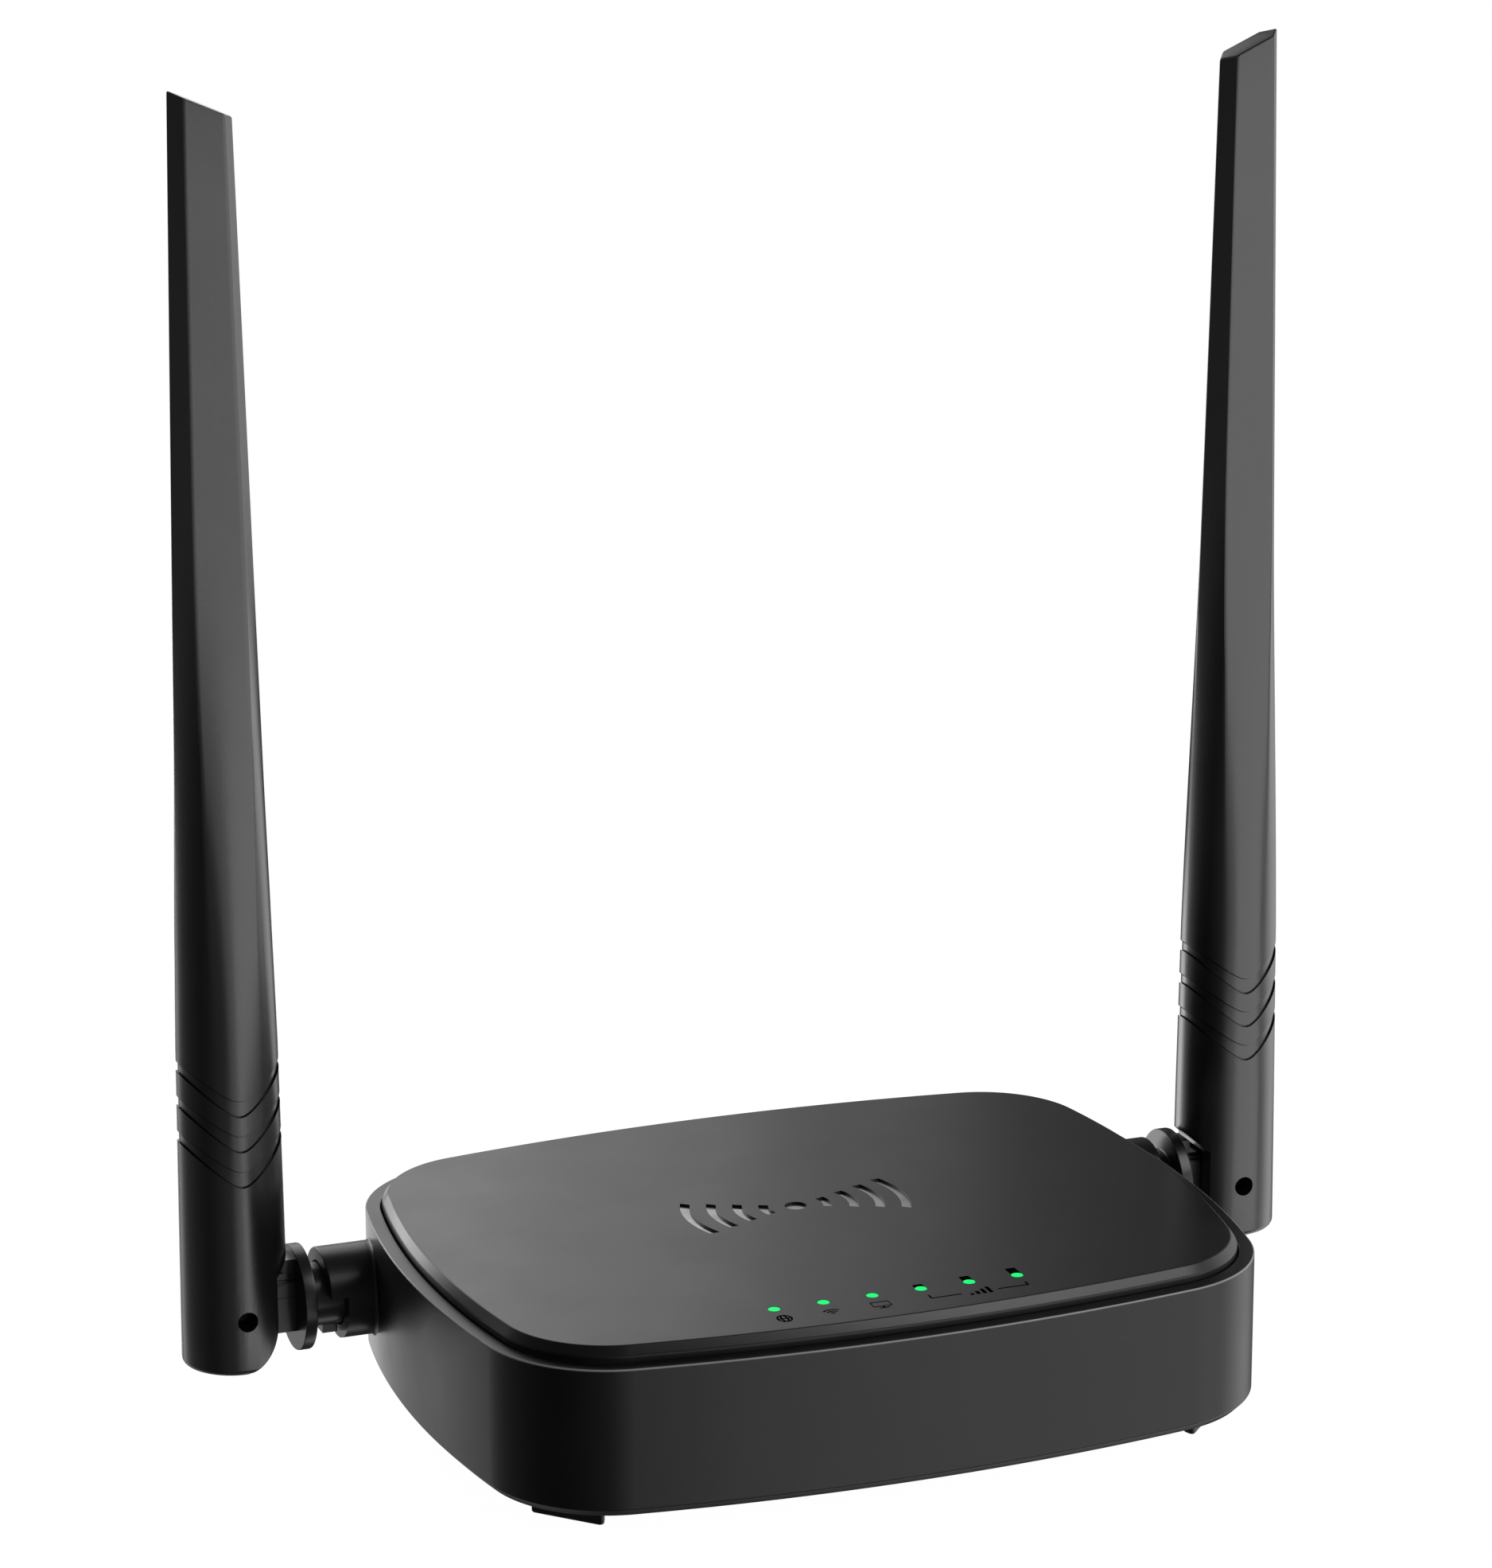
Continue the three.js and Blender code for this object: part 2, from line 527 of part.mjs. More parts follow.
// One ring of the antenna about its own axis: a hexagon that turns into an ellipse.
function antennaRing(level, shrink, heightAt, steps = 3) {
  const { width, blade, root, round } = antennaSection(level);
  const corners = [[1, 0], [FACET, 1], [-FACET, 1], [-1, 0], [-FACET, -1], [FACET, -1]];
  const ring = [];
  for (let k = 0; k < 6 * steps; k++) {
    const [x0, y0] = corners[Math.floor(k / steps)];
    const [x1, y1] = corners[(Math.floor(k / steps) + 1) % 6];
    const part = (k % steps) / steps;
    const turn = (k / (6 * steps)) * 2 * Math.PI;
    const x = (width - shrink) * THREE.MathUtils.lerp(x0 + (x1 - x0) * part, Math.cos(turn), round);
    const flat = (blade - shrink) * (y0 + (y1 - y0) * part);
    const y = THREE.MathUtils.lerp(flat, (root - shrink) * Math.sin(turn), round);
    ring.push(new THREE.Vector3(x, y, heightAt(x, width)));
  }
  return ring;
}

// Height of a V-shaped groove edge: lowest at the middle of the front and back, rising to the sides.
function chevronEdge(tip, rise) {
  const blunt = 1.6;
  return (x, width) => tip + (rise * (Math.hypot(x, blunt) - blunt)) / (Math.hypot(width, blunt) - blunt);
}

function antennaCover() {
  const level = (z, shrink = 0) => antennaRing(z, shrink, () => z);
  const rings = [level(ANTENNA_BOTTOM, 1), level(ANTENNA_BOTTOM + 0.9), level(20), level(32)];
  for (const tip of [...GROOVE.tips].reverse()) {
    const lower = tip - GROOVE.height;
    const edge = (z, rise, shrink) => antennaRing(tip, shrink, chevronEdge(z, rise));
    rings.push(edge(lower, GROOVE.rise + GROOVE.spread, 0));
    rings.push(edge(lower + GROOVE.step, GROOVE.rise + GROOVE.spread, GROOVE.depth));
    rings.push(edge(tip - GROOVE.step, GROOVE.rise, GROOVE.depth));
    rings.push(edge(tip, GROOVE.rise, 0));
  }
  for (const z of [CHEVRON_TOP, 75, 90, 105, 120, 138, 165]) {
    rings.push(level(z));
  }
  rings.push(antennaRing(TIP_Z, 0, (x) => TIP_Z - TIP_SLOPE * x));
  const hollow = [26, 60, 90, 138, 188].map((z) => antennaRing(z, 1.3, () => z, 1));
  const cover = solid(skin(rings).translate(-PIN_X, AXIS_Y, 0));
  const inside = solid(skin(hollow).translate(-PIN_X, AXIS_Y, 0));
  const feed = solid(upright(1, -PIN_X, AXIS_Y, AXIS_Z, 28, 12));
  const pinHole = solid(alongY(PIN.hole, AXIS_Y - 12, AXIS_Y + 12, -PIN_X, AXIS_Z, 20));
  return surface(cut(cover, inside, feed, pinHole, cheekCut(), tongueSlot()));
}

// What is taken off the inner side of the root, so that it clears the knuckle as it tilts.
function cheekCut() {
  const { edge, top, flare, rise, cornerX, cornerRadius } = CHEEK;
  const cornerZ = ANTENNA_BOTTOM + cornerRadius;
  const shape = new THREE.Shape();
  shape.moveTo(-PIN_X + 12, 0);
  shape.lineTo(-PIN_X + 12, top + rise * 2);
  shape.lineTo(-PIN_X + edge + flare * 2, top + rise * 2);
  shape.lineTo(-PIN_X + edge, top);
  shape.absarc(-PIN_X + cornerX, cornerZ, cornerRadius, 0, -Math.PI / 2, true);
  shape.lineTo(-PIN_X + cornerX, 0);
  return solidSlab(shape, AXIS_Y - 12, AXIS_Y + 12);
}

function tongueSlot() {
  const { half, radius } = SLOT;
  const shape = new THREE.Shape();
  shape.moveTo(-PIN_X - radius, 0);
  shape.lineTo(-PIN_X + 12, 0);
  shape.lineTo(-PIN_X + 12, AXIS_Z + radius);
  shape.lineTo(-PIN_X, AXIS_Z + radius);
  shape.absarc(-PIN_X, AXIS_Z, radius, Math.PI / 2, Math.PI, false);
  return solidSlab(shape, AXIS_Y - half, AXIS_Y + half);
}

const hingePin = () => alongY(PIN.radius, AXIS_Y - PIN.half, AXIS_Y + PIN.half, -PIN_X, AXIS_Z, 16);
const radiator = () => block(-PIN_X - 2.5, -PIN_X + 2.5, AXIS_Y - 0.4, AXIS_Y + 0.4, 50, 170);
const radiatorLead = () => upright(LEAD, -PIN_X, AXIS_Y, 21.2, 49.7, 8);

// ---- assembly --------------------------------------------------------------------------------
const finish = (color, roughness, metalness = 0) => {
  return new THREE.MeshStandardMaterial({ color, roughness, metalness });
};
const plastic = finish(0x2e2e30, 0.42);
const lidPlastic = finish(0x333335, 0.38);
const rubber = finish(0x1c1c1d, 0.85);
const steel = finish(0xb9bbbf, 0.32, 1);
const tin = finish(0xa9abad, 0.38, 1);
const brass = finish(0xb58d45, 0.35, 1);
const laminate = finish(0x1f5d3a, 0.5);
const black = finish(0x17171a, 0.5);
const portPlastic = finish(0x1a1a1c, 0.45);
const lensGreen = finish(0x1fff78, 0.25);
const sleeveGrey = finish(0x9aa0a6, 0.5);

const router = new THREE.Group();

function add(name, geometry, material) {
  const mesh = new THREE.Mesh(geometry, material);
  mesh.name = name;
  router.add(mesh);
  return mesh;
}

// The same shape on the left and, mirrored, on the right.
function addPair(name, geometry, material) {
  add("left_" + name, geometry, material);
  add("right_" + name, geometry, material).scale.x = -1;
}

add("base_shell", baseShell(), plastic);
add("top_cover", topCover(), lidPlastic);
add("light_guide", lightGuide(), lensGreen);

const footShape = foot();
for (const [end, sy] of [["front", 1], ["rear", -1]]) {
  for (const [side, sx] of [["left", 1], ["right", -1]]) {
    add(`foot_${end}_${side}`, footShape, rubber).scale.set(sx, sy, 1);
  }
}

const caseScrew = screw(2.7, 1.9, 1.25, 13);
caseScrewPlaces.forEach(({ x, y }, i) => {
  add(`case_screw_${i + 1}`, caseScrew, steel).position.set(x, y, FOOT_HEIGHT + 0.5);
});

add("main_board", mainBoard(), laminate);
const boardScrew = screw(2.4, 1.5, 1, 4.4);
BOARD_SCREWS.forEach(([x, y], i) => {
  const mesh = add(`board_screw_${i + 1}`, boardScrew, steel);
  mesh.rotation.x = Math.PI;
  mesh.position.set(x, y, BOARD_TOP + GAP + 1.5);
});

add("wan_port", networkJack(WAN_X), portPlastic);
add("lan_port", networkJack(LAN_X), portPlastic);
add("power_jack", powerJack(), portPlastic);
add("power_jack_pin", powerPin(), steel);
add("wps_button", buttonCap(), plastic);
add("wps_switch", buttonSwitch(), black);
add("sim_socket", simSocket(), steel);

add("wifi_shield", shieldCan(-8, -2, 26, 22, 2.8), tin);
add("modem_module", modemModule(23, -6), tin);
add("wan_magnetics", onBoard(WAN_X, 19, 15, 7, 5.5), black);
add("lan_magnetics", onBoard(LAN_X - 1, 19, 15, 7, 5.5), black);
add("memory_chip", onBoard(-34, -8, 10, 13, 1.2), black);
add("flash_chip", onBoard(-34, 8, 6, 8, 1.6), black);
add("power_inductor", onBoard(31, 20, 7, 7, 3.4), black);
add("capacitor_1", capacitor(29, 27.5), tin);
add("capacitor_2", capacitor(50, 30), tin);
for (let i = 0; i < LIGHTS; i++) {
  add(`led_${i + 1}`, onBoard(lightX(i), LIGHT_Y, 1.6, 0.9, 0.7), lensGreen);
}

addPair("aerial_connector", upright(1.4, -47, 19, BOARD_TOP + GAP, BOARD_TOP + 1.6, 12), brass);
addPair("aerial_lead", aerialLead(), sleeveGrey);
addPair("knuckle", knuckle(), plastic);
addPair("hinge_pin", hingePin(), steel);
addPair("antenna_cover", antennaCover(), plastic);
addPair("radiator", radiator(), laminate);
addPair("radiator_lead", radiatorLead(), sleeveGrey);

export default router;
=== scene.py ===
# Looks of the two-antenna wireless router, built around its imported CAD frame.
# Lengths are millimetres, and MM turns them into metres where Blender needs them.
import json
import math

import bmesh
import bpy
from mathutils import Matrix, Vector

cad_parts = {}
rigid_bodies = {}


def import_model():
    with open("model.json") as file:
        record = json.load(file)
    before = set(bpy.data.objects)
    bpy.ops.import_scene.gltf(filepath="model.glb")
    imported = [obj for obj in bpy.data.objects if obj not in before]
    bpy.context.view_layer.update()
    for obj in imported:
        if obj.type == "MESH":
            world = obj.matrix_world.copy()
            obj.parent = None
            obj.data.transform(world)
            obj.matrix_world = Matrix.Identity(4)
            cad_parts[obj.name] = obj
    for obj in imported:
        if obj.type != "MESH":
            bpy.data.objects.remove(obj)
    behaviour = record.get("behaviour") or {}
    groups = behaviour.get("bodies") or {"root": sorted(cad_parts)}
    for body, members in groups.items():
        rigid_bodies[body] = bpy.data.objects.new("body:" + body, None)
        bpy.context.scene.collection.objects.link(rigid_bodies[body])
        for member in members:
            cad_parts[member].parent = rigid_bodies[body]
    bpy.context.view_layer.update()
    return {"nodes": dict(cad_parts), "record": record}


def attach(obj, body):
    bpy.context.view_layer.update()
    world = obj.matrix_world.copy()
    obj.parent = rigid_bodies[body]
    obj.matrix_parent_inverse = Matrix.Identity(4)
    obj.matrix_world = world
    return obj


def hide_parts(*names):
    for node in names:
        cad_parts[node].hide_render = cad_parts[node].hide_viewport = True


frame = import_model()
MM = 0.001

# ---- camera ----
CAMERA_PLACE = (-286.0, -728.07, 315.99)
CAMERA_HEADING = 20.8  # degrees from +Y towards +X
CAMERA_DOWN = 15.703  # degrees below level
CAMERA_ROLL = -0.128
LENS = 124.9
SENSOR = 36.0


def add_camera():
    data = bpy.data.cameras.new("camera")
    data.lens = LENS
    data.sensor_width = SENSOR
    camera = bpy.data.objects.new("camera", data)
    bpy.context.scene.collection.objects.link(camera)
    turn = Matrix.Rotation(math.radians(-CAMERA_HEADING), 4, "Z")
    pitch = Matrix.Rotation(math.radians(90 - CAMERA_DOWN), 4, "X")
    roll = Matrix.Rotation(math.radians(CAMERA_ROLL), 4, "Z")
    place_matrix = Matrix.Translation(Vector(CAMERA_PLACE) * MM)
    camera.matrix_world = place_matrix @ turn @ pitch @ roll
    bpy.context.scene.camera = camera


# ---- driving dimensions ----
# The body: bowed sides joined by corner arcs.
HALF_WIDTH, HALF_DEPTH = 63.5, 49.42
FRONT_ARC, SIDE_ARC, CORNER = 296.0, 168.0, 20.0
BOTTOM, RIM_TOP, FLOOR_TOP, WALL = 3.17, 26.05, 5.17, 2.3
EDGE_CHAMFER, RIM_ROUND, RIM_INNER_ROUND = 1.24, 0.3, 0.12
CASE_SCREW_PLACE = (41.14, 26.3)
POST = {"radius": 3.4, "top": 12}
SCREW_WELL = {"radius": 3, "top": 5.77}
SCREW_SHANK = {"radius": 1.6, "top": 13}
VENTS = {"count": 17, "pitch": 3.6, "half": 0.9, "reach": 10.5, "corner": 0.85, "y": -19.5}
LABEL = {"half_width": 24, "half_depth": 13, "corner": 1.5, "y": 15, "depth": 0.3}

# The lid and its lights.
LID_INSET, LID_SHOULDER, LID_TOP, LID_CHAMFER = 2.6, 27.03, 28.41, 1.0
LID_UNDERSIDE, SKIRT, SKIRT_BOTTOM = 26.35, 1.6, 23.8
LIGHTS, LIGHT_PITCH, LIGHT_Y, LIGHT_HOLE = 6, 7.704, -36.9, 0.96

# The board, and the ports in the rear bay. GAP keeps neighbouring parts apart.
BOARD_TOP, GAP = 8.6, 0.1
BAY = {"half": 38.0, "bottom": 6.6, "top": 23.6, "face": 46.8, "inner": 44.8, "wall_top": 25.9}
JACK = {"half": 8.0, "depth": 21.3, "height": 13.5, "front": 46.5}
JACK_SOCKET = {"half": 5.9, "low": 2.0, "high": 9.2, "depth": 13.5}
JACK_LATCH = {"half": 3.1, "low": 3.0, "shoulder": 10.6, "tip": 2.0, "high": 11.8, "depth": 13.4}
CONTACTS = {"count": 8, "pitch": 1.02, "half": 0.19}
WAN_X, LAN_X = 14.0, -5.0
POWER = {"x": 31.0, "half": 4.6, "depth": 14.5, "height": 11.0, "bore": 3.2, "pin": 1.05, "rise": 5.9}
BUTTON = {"x": -19.0, "z": 14.0, "radius": 2.2, "proud": 0.6, "hole": 2.5}
SIM = {"x": -30.0, "half": 7.6, "low": 0.5, "high": 2.2}

# The antenna joints: a sleeve on the body, a knuckle that swivels in it, a tongue on the hinge pin.
AXIS_Y, AXIS_Z, PIN_X = 25.77, 15.38, 83.3
SLEEVE = {"radius": 7.2, "bore": 5.2, "end": 69.9, "notch": 67.15, "top": 16.85, "inner": 57.8, "edge": 0.25}
PLUG = {"radius": 4.9, "inner": 56.2, "barb": 5.7}
FLANGE = {"radius": 8.2, "inner": 72.35, "outer": 74.25, "edge": 0.22}
KEY = {"half": 1.4, "reach": 6.1, "inner": 67.45, "outer": 69.8, "height": 3.0}
TONGUE = {"half": 2.47, "radius": 4.65, "stop": 22.2, "stop_end": 76.3}
PIN_HOLE, CABLE_HOLE = 1.575, 1.6
HINGE_PIN = {"half": 4.4, "radius": 1.3, "edge": 0.25}

# The antennas: a round root, an even taper, and a six-sided blade with a slanted tip.
TIP_Z, TIP_SLOPE, TIP_HALF, TIP_DEPTH, FACET = 199.1, 0.447, 4.775, 2.58, 0.643
BLADE_TAPER, ROOT_TAPER, DEPTH_TAPER = 0.0207, 0.0093, 0.0165
ANTENNA_BOTTOM, ROOT_TOP, BLADE_START = 6.7, 57.3, 138
GROOVE_TIPS, GROOVE_HEIGHT, GROOVE_DEPTH = (39.29, 44.83, 50.33), 2.6, 0.28
TONGUE_SLOT = {"half": 2.8, "radius": 5.15}

# How finely round parts are drawn, and the angles from which an edge counts as sharp.
ROUND_STEPS = 96
SHARP_ANGLE, BLADE_SHARP_ANGLE, SOFTEN_ANGLE = 32, 20, 40


# ---- materials ----
class Graph:
    """A short way to add and join shader nodes."""

    def __init__(self, tree):
        self.tree = tree

    def node(self, kind, **settings):
        made = self.tree.nodes.new(kind)
        for key, value in settings.items():
            setattr(made, key, value)
        return made

    def feed(self, value, socket):
        """Links an output to a socket, or sets the socket to a number or an RGB colour."""
        if hasattr(value, "is_output"):
            self.tree.links.new(value, socket)
        elif isinstance(value, tuple):
            socket.default_value = (*value, 1)
        else:
            socket.default_value = value

    def mix(self, factor, first, second):
        blend = self.node("ShaderNodeMix", data_type="RGBA")
        for socket, value in (("Factor", factor), ("A", first), ("B", second)):
            self.feed(value, blend.inputs[socket])
        return blend.outputs["Result"]

    def remap(self, source, low, high, start=0.3, end=0.7, **settings):
        """Turns start..end of a value into low..high."""
        change = self.node("ShaderNodeMapRange", **settings)
        ends = (("From Min", start), ("From Max", end), ("To Min", low), ("To Max", high))
        for socket, value in (("Value", source), *ends):
            self.feed(value, change.inputs[socket])
        return change.outputs["Result"]

    def compute(self, operation, *values):
        step = self.node("ShaderNodeMath", operation=operation)
        for value, socket in zip(values, step.inputs):
            self.feed(value, socket)
        return step.outputs["Value"]

    def split(self, vector):
        """The X, Y and Z outputs of a vector."""
        parts = self.node("ShaderNodeSeparateXYZ")
        self.feed(vector, parts.inputs["Vector"])
        return parts.outputs


class Surface(Graph):
    """A material around one Principled shader."""

    def __init__(self, name):
        self.material = bpy.data.materials.new(name)
        self.material.use_nodes = True
        super().__init__(self.material.node_tree)
        self.shader = self.tree.nodes["Principled BSDF"]
        self.place = self.node("ShaderNodeTexCoord").outputs["Object"]

    def give(self, socket, value):
        self.feed(value, self.shader.inputs[socket])

    def noise(self, scale, detail=2.0, stretch=None):
        texture = self.node("ShaderNodeTexNoise")
        self.feed(scale, texture.inputs["Scale"])
        self.feed(detail, texture.inputs["Detail"])
        source = self.place
        if stretch:
            mapping = self.node("ShaderNodeMapping")
            mapping.inputs["Scale"].default_value = stretch
            self.feed(self.place, mapping.inputs["Vector"])
            source = mapping.outputs["Vector"]
        self.feed(source, texture.inputs["Vector"])
        return texture.outputs["Fac"]

    def bump(self, height, distance):
        relief = self.node("ShaderNodeBump")
        self.feed(1.0, relief.inputs["Strength"])
        self.feed(distance * MM, relief.inputs["Distance"])
        self.feed(height, relief.inputs["Height"])
        return relief.outputs["Normal"]


def times(colour, factor, extra=0.0):
    return tuple(c * factor + extra for c in colour)


# Painted highlight along the rounded rim edge, which also stands for handling wear.
RIM_HIGHLIGHT_AND_WEAR = (0.3, 0.3, 0.305)
PALE_RIM_START, PALE_RIM_FULL = 0.3, 0.12  # below the rim's top
PALE_RIM_SLOPE = (0.9, 0.985)  # upward part of the normal: painted pale below the first, not above the second


def paint_rim_highlight_and_wear(n, finish, rim):
    """Paints a highlight, which also stands for handling wear, on the rounded edge just below the height
    rim.
    """
    near = n.remap(n.split(n.place)["Z"], 0, 1, (rim - PALE_RIM_START) * MM, (rim - PALE_RIM_FULL) * MM)
    normal = n.node("ShaderNodeNewGeometry").outputs["Normal"]
    sloped = n.remap(n.split(normal)["Z"], 1, 0, *PALE_RIM_SLOPE)
    return n.mix(n.compute("MULTIPLY", near, sloped), finish, RIM_HIGHLIGHT_AND_WEAR)


def moulded_plastic(name, colour, roughness, specular=0.5, ior=1.5, grain=0.005, rim=None):
    """Satin moulded plastic: fine spark-eroded grain, faint flow mottling and hairline handling marks.

    rim is the height of a top edge painted pale: a painted highlight that also stands for handling wear.
    """
    n = Surface(name)
    mottle = n.noise(90, 3)
    marks = n.remap(n.noise(300, 4, (1, 9, 3)), 0, 1, 0.66, 0.8)
    body = n.mix(n.remap(mottle, 0, 1), colour, times(colour, 1.5))
    finish = n.mix(marks, body, times(colour, 2.5, 0.001))
    n.give("Base Color", paint_rim_highlight_and_wear(n, finish, rim) if rim else finish)
    n.give("Roughness", n.remap(mottle, roughness - 0.02, roughness + 0.02))
    n.give("Normal", n.bump(n.noise(5200), grain))
    n.give("Specular IOR Level", specular)
    n.give("IOR", ior)
    return n.material


def metal(name, colour, roughness, stretch=(1, 1, 12)):
    """Plated or rolled metal with fine drawing lines and dull patches."""
    n = Surface(name)
    patches = n.noise(220, 3)
    n.give("Base Color", n.mix(n.remap(patches, 0, 1), times(colour, 0.72), colour))
    n.give("Roughness", n.remap(patches, roughness + 0.1, roughness - 0.06))
    n.give("Normal", n.bump(n.noise(900, 2, stretch), 0.01))
    n.give("Metallic", 1.0)
    return n.material


def rubber(name, colour, roughness=0.78, specular=0.5):
    """Matt, slightly mottled and rough to the touch. Also used for print, for painted shade in the light
    slots, and for lead jackets.
    """
    n = Surface(name)
    n.give("Base Color", n.mix(n.remap(n.noise(300, 4), 0, 1), colour, times(colour, 1.8)))
    n.give("Roughness", n.remap(n.noise(500), roughness - 0.1, roughness + 0.1))
    n.give("Normal", n.bump(n.noise(3000, 3), 0.03))
    n.give("Specular IOR Level", specular)
    return n.material


def circuit_board(name):
    """Green solder mask over raised, wavy copper tracks."""
    n = Surface(name)
    wave = n.node("ShaderNodeTexWave", wave_type="BANDS", bands_direction="DIAGONAL")
    for socket, value in (("Scale", 320), ("Distortion", 6), ("Detail", 1), ("Vector", n.place)):
        n.feed(value, wave.inputs[socket])
    track = n.remap(wave.outputs["Fac"], 0, 1, 0.55, 0.62)
    n.give("Base Color", n.mix(track, (0.004, 0.045, 0.02), (0.012, 0.11, 0.045)))
    n.give("Roughness", n.remap(n.noise(400), 0.3, 0.45))
    n.give("Normal", n.bump(track, 0.03))
    return n.material


def lit_lens(name, strength):
    """Light-guide plastic that glows green, slightly uneven."""
    n = Surface(name)
    mottle = n.remap(n.noise(700), 0, 1)
    n.give("Emission Color", n.mix(mottle, (0.0, 0.92, 0.17), (0.0, 1.0, 0.21)))
    n.give("Base Color", n.mix(mottle, (0.0, 0.1, 0.02), (0.0, 0.14, 0.03)))
    n.give("Roughness", n.remap(n.noise(900), 0.4, 0.5))
    n.give("Normal", n.bump(n.noise(2500), 0.01))
    n.give("Specular IOR Level", 0.1)
    n.give("Emission Strength", strength)
    return n.material


SHELL = moulded_plastic("shell_plastic", (0.0024, 0.0024, 0.0026), 0.33, rim=RIM_TOP)
LID = moulded_plastic("lid_plastic", (0.0026, 0.0026, 0.0028), 0.31)
ANTENNA = moulded_plastic(
    "antenna_plastic", (0.0016, 0.0016, 0.0018), 0.27, specular=0.95, ior=1.6, grain=0.0025,
)
KNUCKLE = moulded_plastic("knuckle_plastic", (0.002, 0.002, 0.0022), 0.3, specular=0.6, grain=0.003)
BUTTON_PLASTIC = moulded_plastic("button_plastic", (0.006, 0.006, 0.0065), 0.4)
PORT = moulded_plastic("port_plastic", (0.006, 0.006, 0.0065), 0.42)
CHIP = moulded_plastic("chip_epoxy", (0.014, 0.014, 0.015), 0.55, grain=0.03)
INLAY = metal("emblem_foil", (0.42, 0.42, 0.43), 0.2)
# Black print, also used for the painted shade in the light slots.
PRINT_AND_SLOT_SHADE = rubber("legend_print", (0.001, 0.001, 0.001), 0.9, specular=0.0)
FOOT = rubber("foot_rubber", (0.0035, 0.0035, 0.0037), 0.45)
JACKET = rubber("lead_jacket", (0.22, 0.23, 0.25), 0.5)
STEEL = metal("zinc_steel", (0.55, 0.55, 0.57), 0.32)
DARK_STEEL = metal("blackened_steel", (0.03, 0.03, 0.032), 0.45)
TIN = metal("tin_plate", (0.62, 0.62, 0.63), 0.3, (1, 10, 1))
GOLD = metal("gold_contact", (0.78, 0.52, 0.2), 0.25)
LAMINATE = circuit_board("circuit_laminate")
LENS_LIT = lit_lens("light_window", 1.0)
LENS_GUIDE = lit_lens("light_guide", 0.25)


# ---- mesh making ----
def add_object(name, mesh, material=None):
    obj = bpy.data.objects.new(name, mesh)
    bpy.context.scene.collection.objects.link(obj)
    if material:
        mesh.materials.append(material)
    return obj


def build(name, points, faces, material=None):
    """An object from points in millimetres, with its faces turned outwards."""
    mesh = bpy.data.meshes.new(name)
    mesh.from_pydata([Vector(p) * MM for p in points], [], faces)
    work = bmesh.new()
    work.from_mesh(mesh)
    bmesh.ops.recalc_face_normals(work, faces=work.faces)
    work.to_mesh(mesh)
    work.free()
    return add_object(name, mesh, material)


def loft(name, rings, material=None):
    """A closed skin over rings with equal numbers of points."""
    around = len(rings[0])
    points = [p for ring in rings for p in ring]
    faces = [list(range(around)), list(range(len(points) - around, len(points)))]
    for r in range(len(rings) - 1):
        for i in range(around):
            a, b = r * around + i, r * around + (i + 1) % around
            faces.append((a, b, b + around, a + around))
    return build(name, points, faces, material)


# How a drawing (u, v) across an axis and a place w along it become x, y, z.
AXES = {
    "x": lambda u, v, w: (w, u, v),
    "y": lambda u, v, w: (u, w, v),
    "z": lambda u, v, w: (u, v, w),
}


def prism(name, outline_points, low, high, axis="z", material=None):
    """An outline drawn across an axis, drawn out from low to high along it."""
    turn = AXES[axis]
    return loft(name, [[turn(u, v, w) for u, v in outline_points] for w in (low, high)], material)


def lathe(name, profile, centre, axis="z", steps=ROUND_STEPS, material=None):
    """A turned body: (radius, place along the axis) points, about centre (u, v)."""
    turn = AXES[axis]
    angles = [2 * math.pi * k / steps for k in range(steps)]
    (u, v), rings = centre, []
    for r, w in profile:
        rings.append([turn(u + r * math.cos(t), v + r * math.sin(t), w) for t in angles])
    return loft(name, rings, material)


def rounded(radius, steps, width, depth, cx=0.0, cy=0.0):
    """A rectangle of half-sizes width and depth, with corners of that radius drawn in steps."""
    points = []
    for k, (sx, sy) in enumerate(((1, 1), (-1, 1), (-1, -1), (1, -1))):
        for i in range(steps + 1):
            t = math.pi / 2 * (k + i / steps)
            points.append((
                cx + sx * (width - radius) + radius * math.cos(t),
                cy + sy * (depth - radius) + radius * math.sin(t),
            ))
    return points


def box_outline(u0, u1, v0, v1):
    return [(u0, v0), (u1, v0), (u1, v1), (u0, v1)]


def merge(name, parts, material=None):
    """Several objects as one, for parts that don't touch each other."""
    work = bmesh.new()
    for part in parts:
        work.from_mesh(part.data)
        bpy.data.objects.remove(part)
    mesh = bpy.data.meshes.new(name)
    work.to_mesh(mesh)
    work.free()
    return add_object(name, mesh, material)


def carve(obj, tool, operation="DIFFERENCE"):
    """Cuts tool out of obj, or joins it on, and removes the tool."""
    step = obj.modifiers.new("carve", "BOOLEAN")
    step.operation = operation
    step.solver = "EXACT"
    step.object = tool
    bpy.context.view_layer.update()
    done = bpy.data.meshes.new_from_object(obj.evaluated_get(bpy.context.evaluated_depsgraph_get()))
    obj.modifiers.clear()
    obj.data = done
    bpy.data.objects.remove(tool)


def join(obj, tool):
    carve(obj, tool, "UNION")


def soften(obj, width):
    """Small rounded edges."""
    step = obj.modifiers.new("soften", "BEVEL")
    step.width = width * MM
    step.segments = 2
    step.limit_method = "ANGLE"
    step.angle_limit = math.radians(SOFTEN_ANGLE)


def shade(obj, angle, weighted):
    """Smooth shading that keeps hard corners hard and, where weighted, flat faces flat."""
    mesh = obj.data
    for polygon in mesh.polygons:
        polygon.use_smooth = True
    mesh.set_sharp_from_angle(angle=math.radians(angle))
    if weighted:
        obj.modifiers.new("weighted", "WEIGHTED_NORMAL").keep_sharp = True


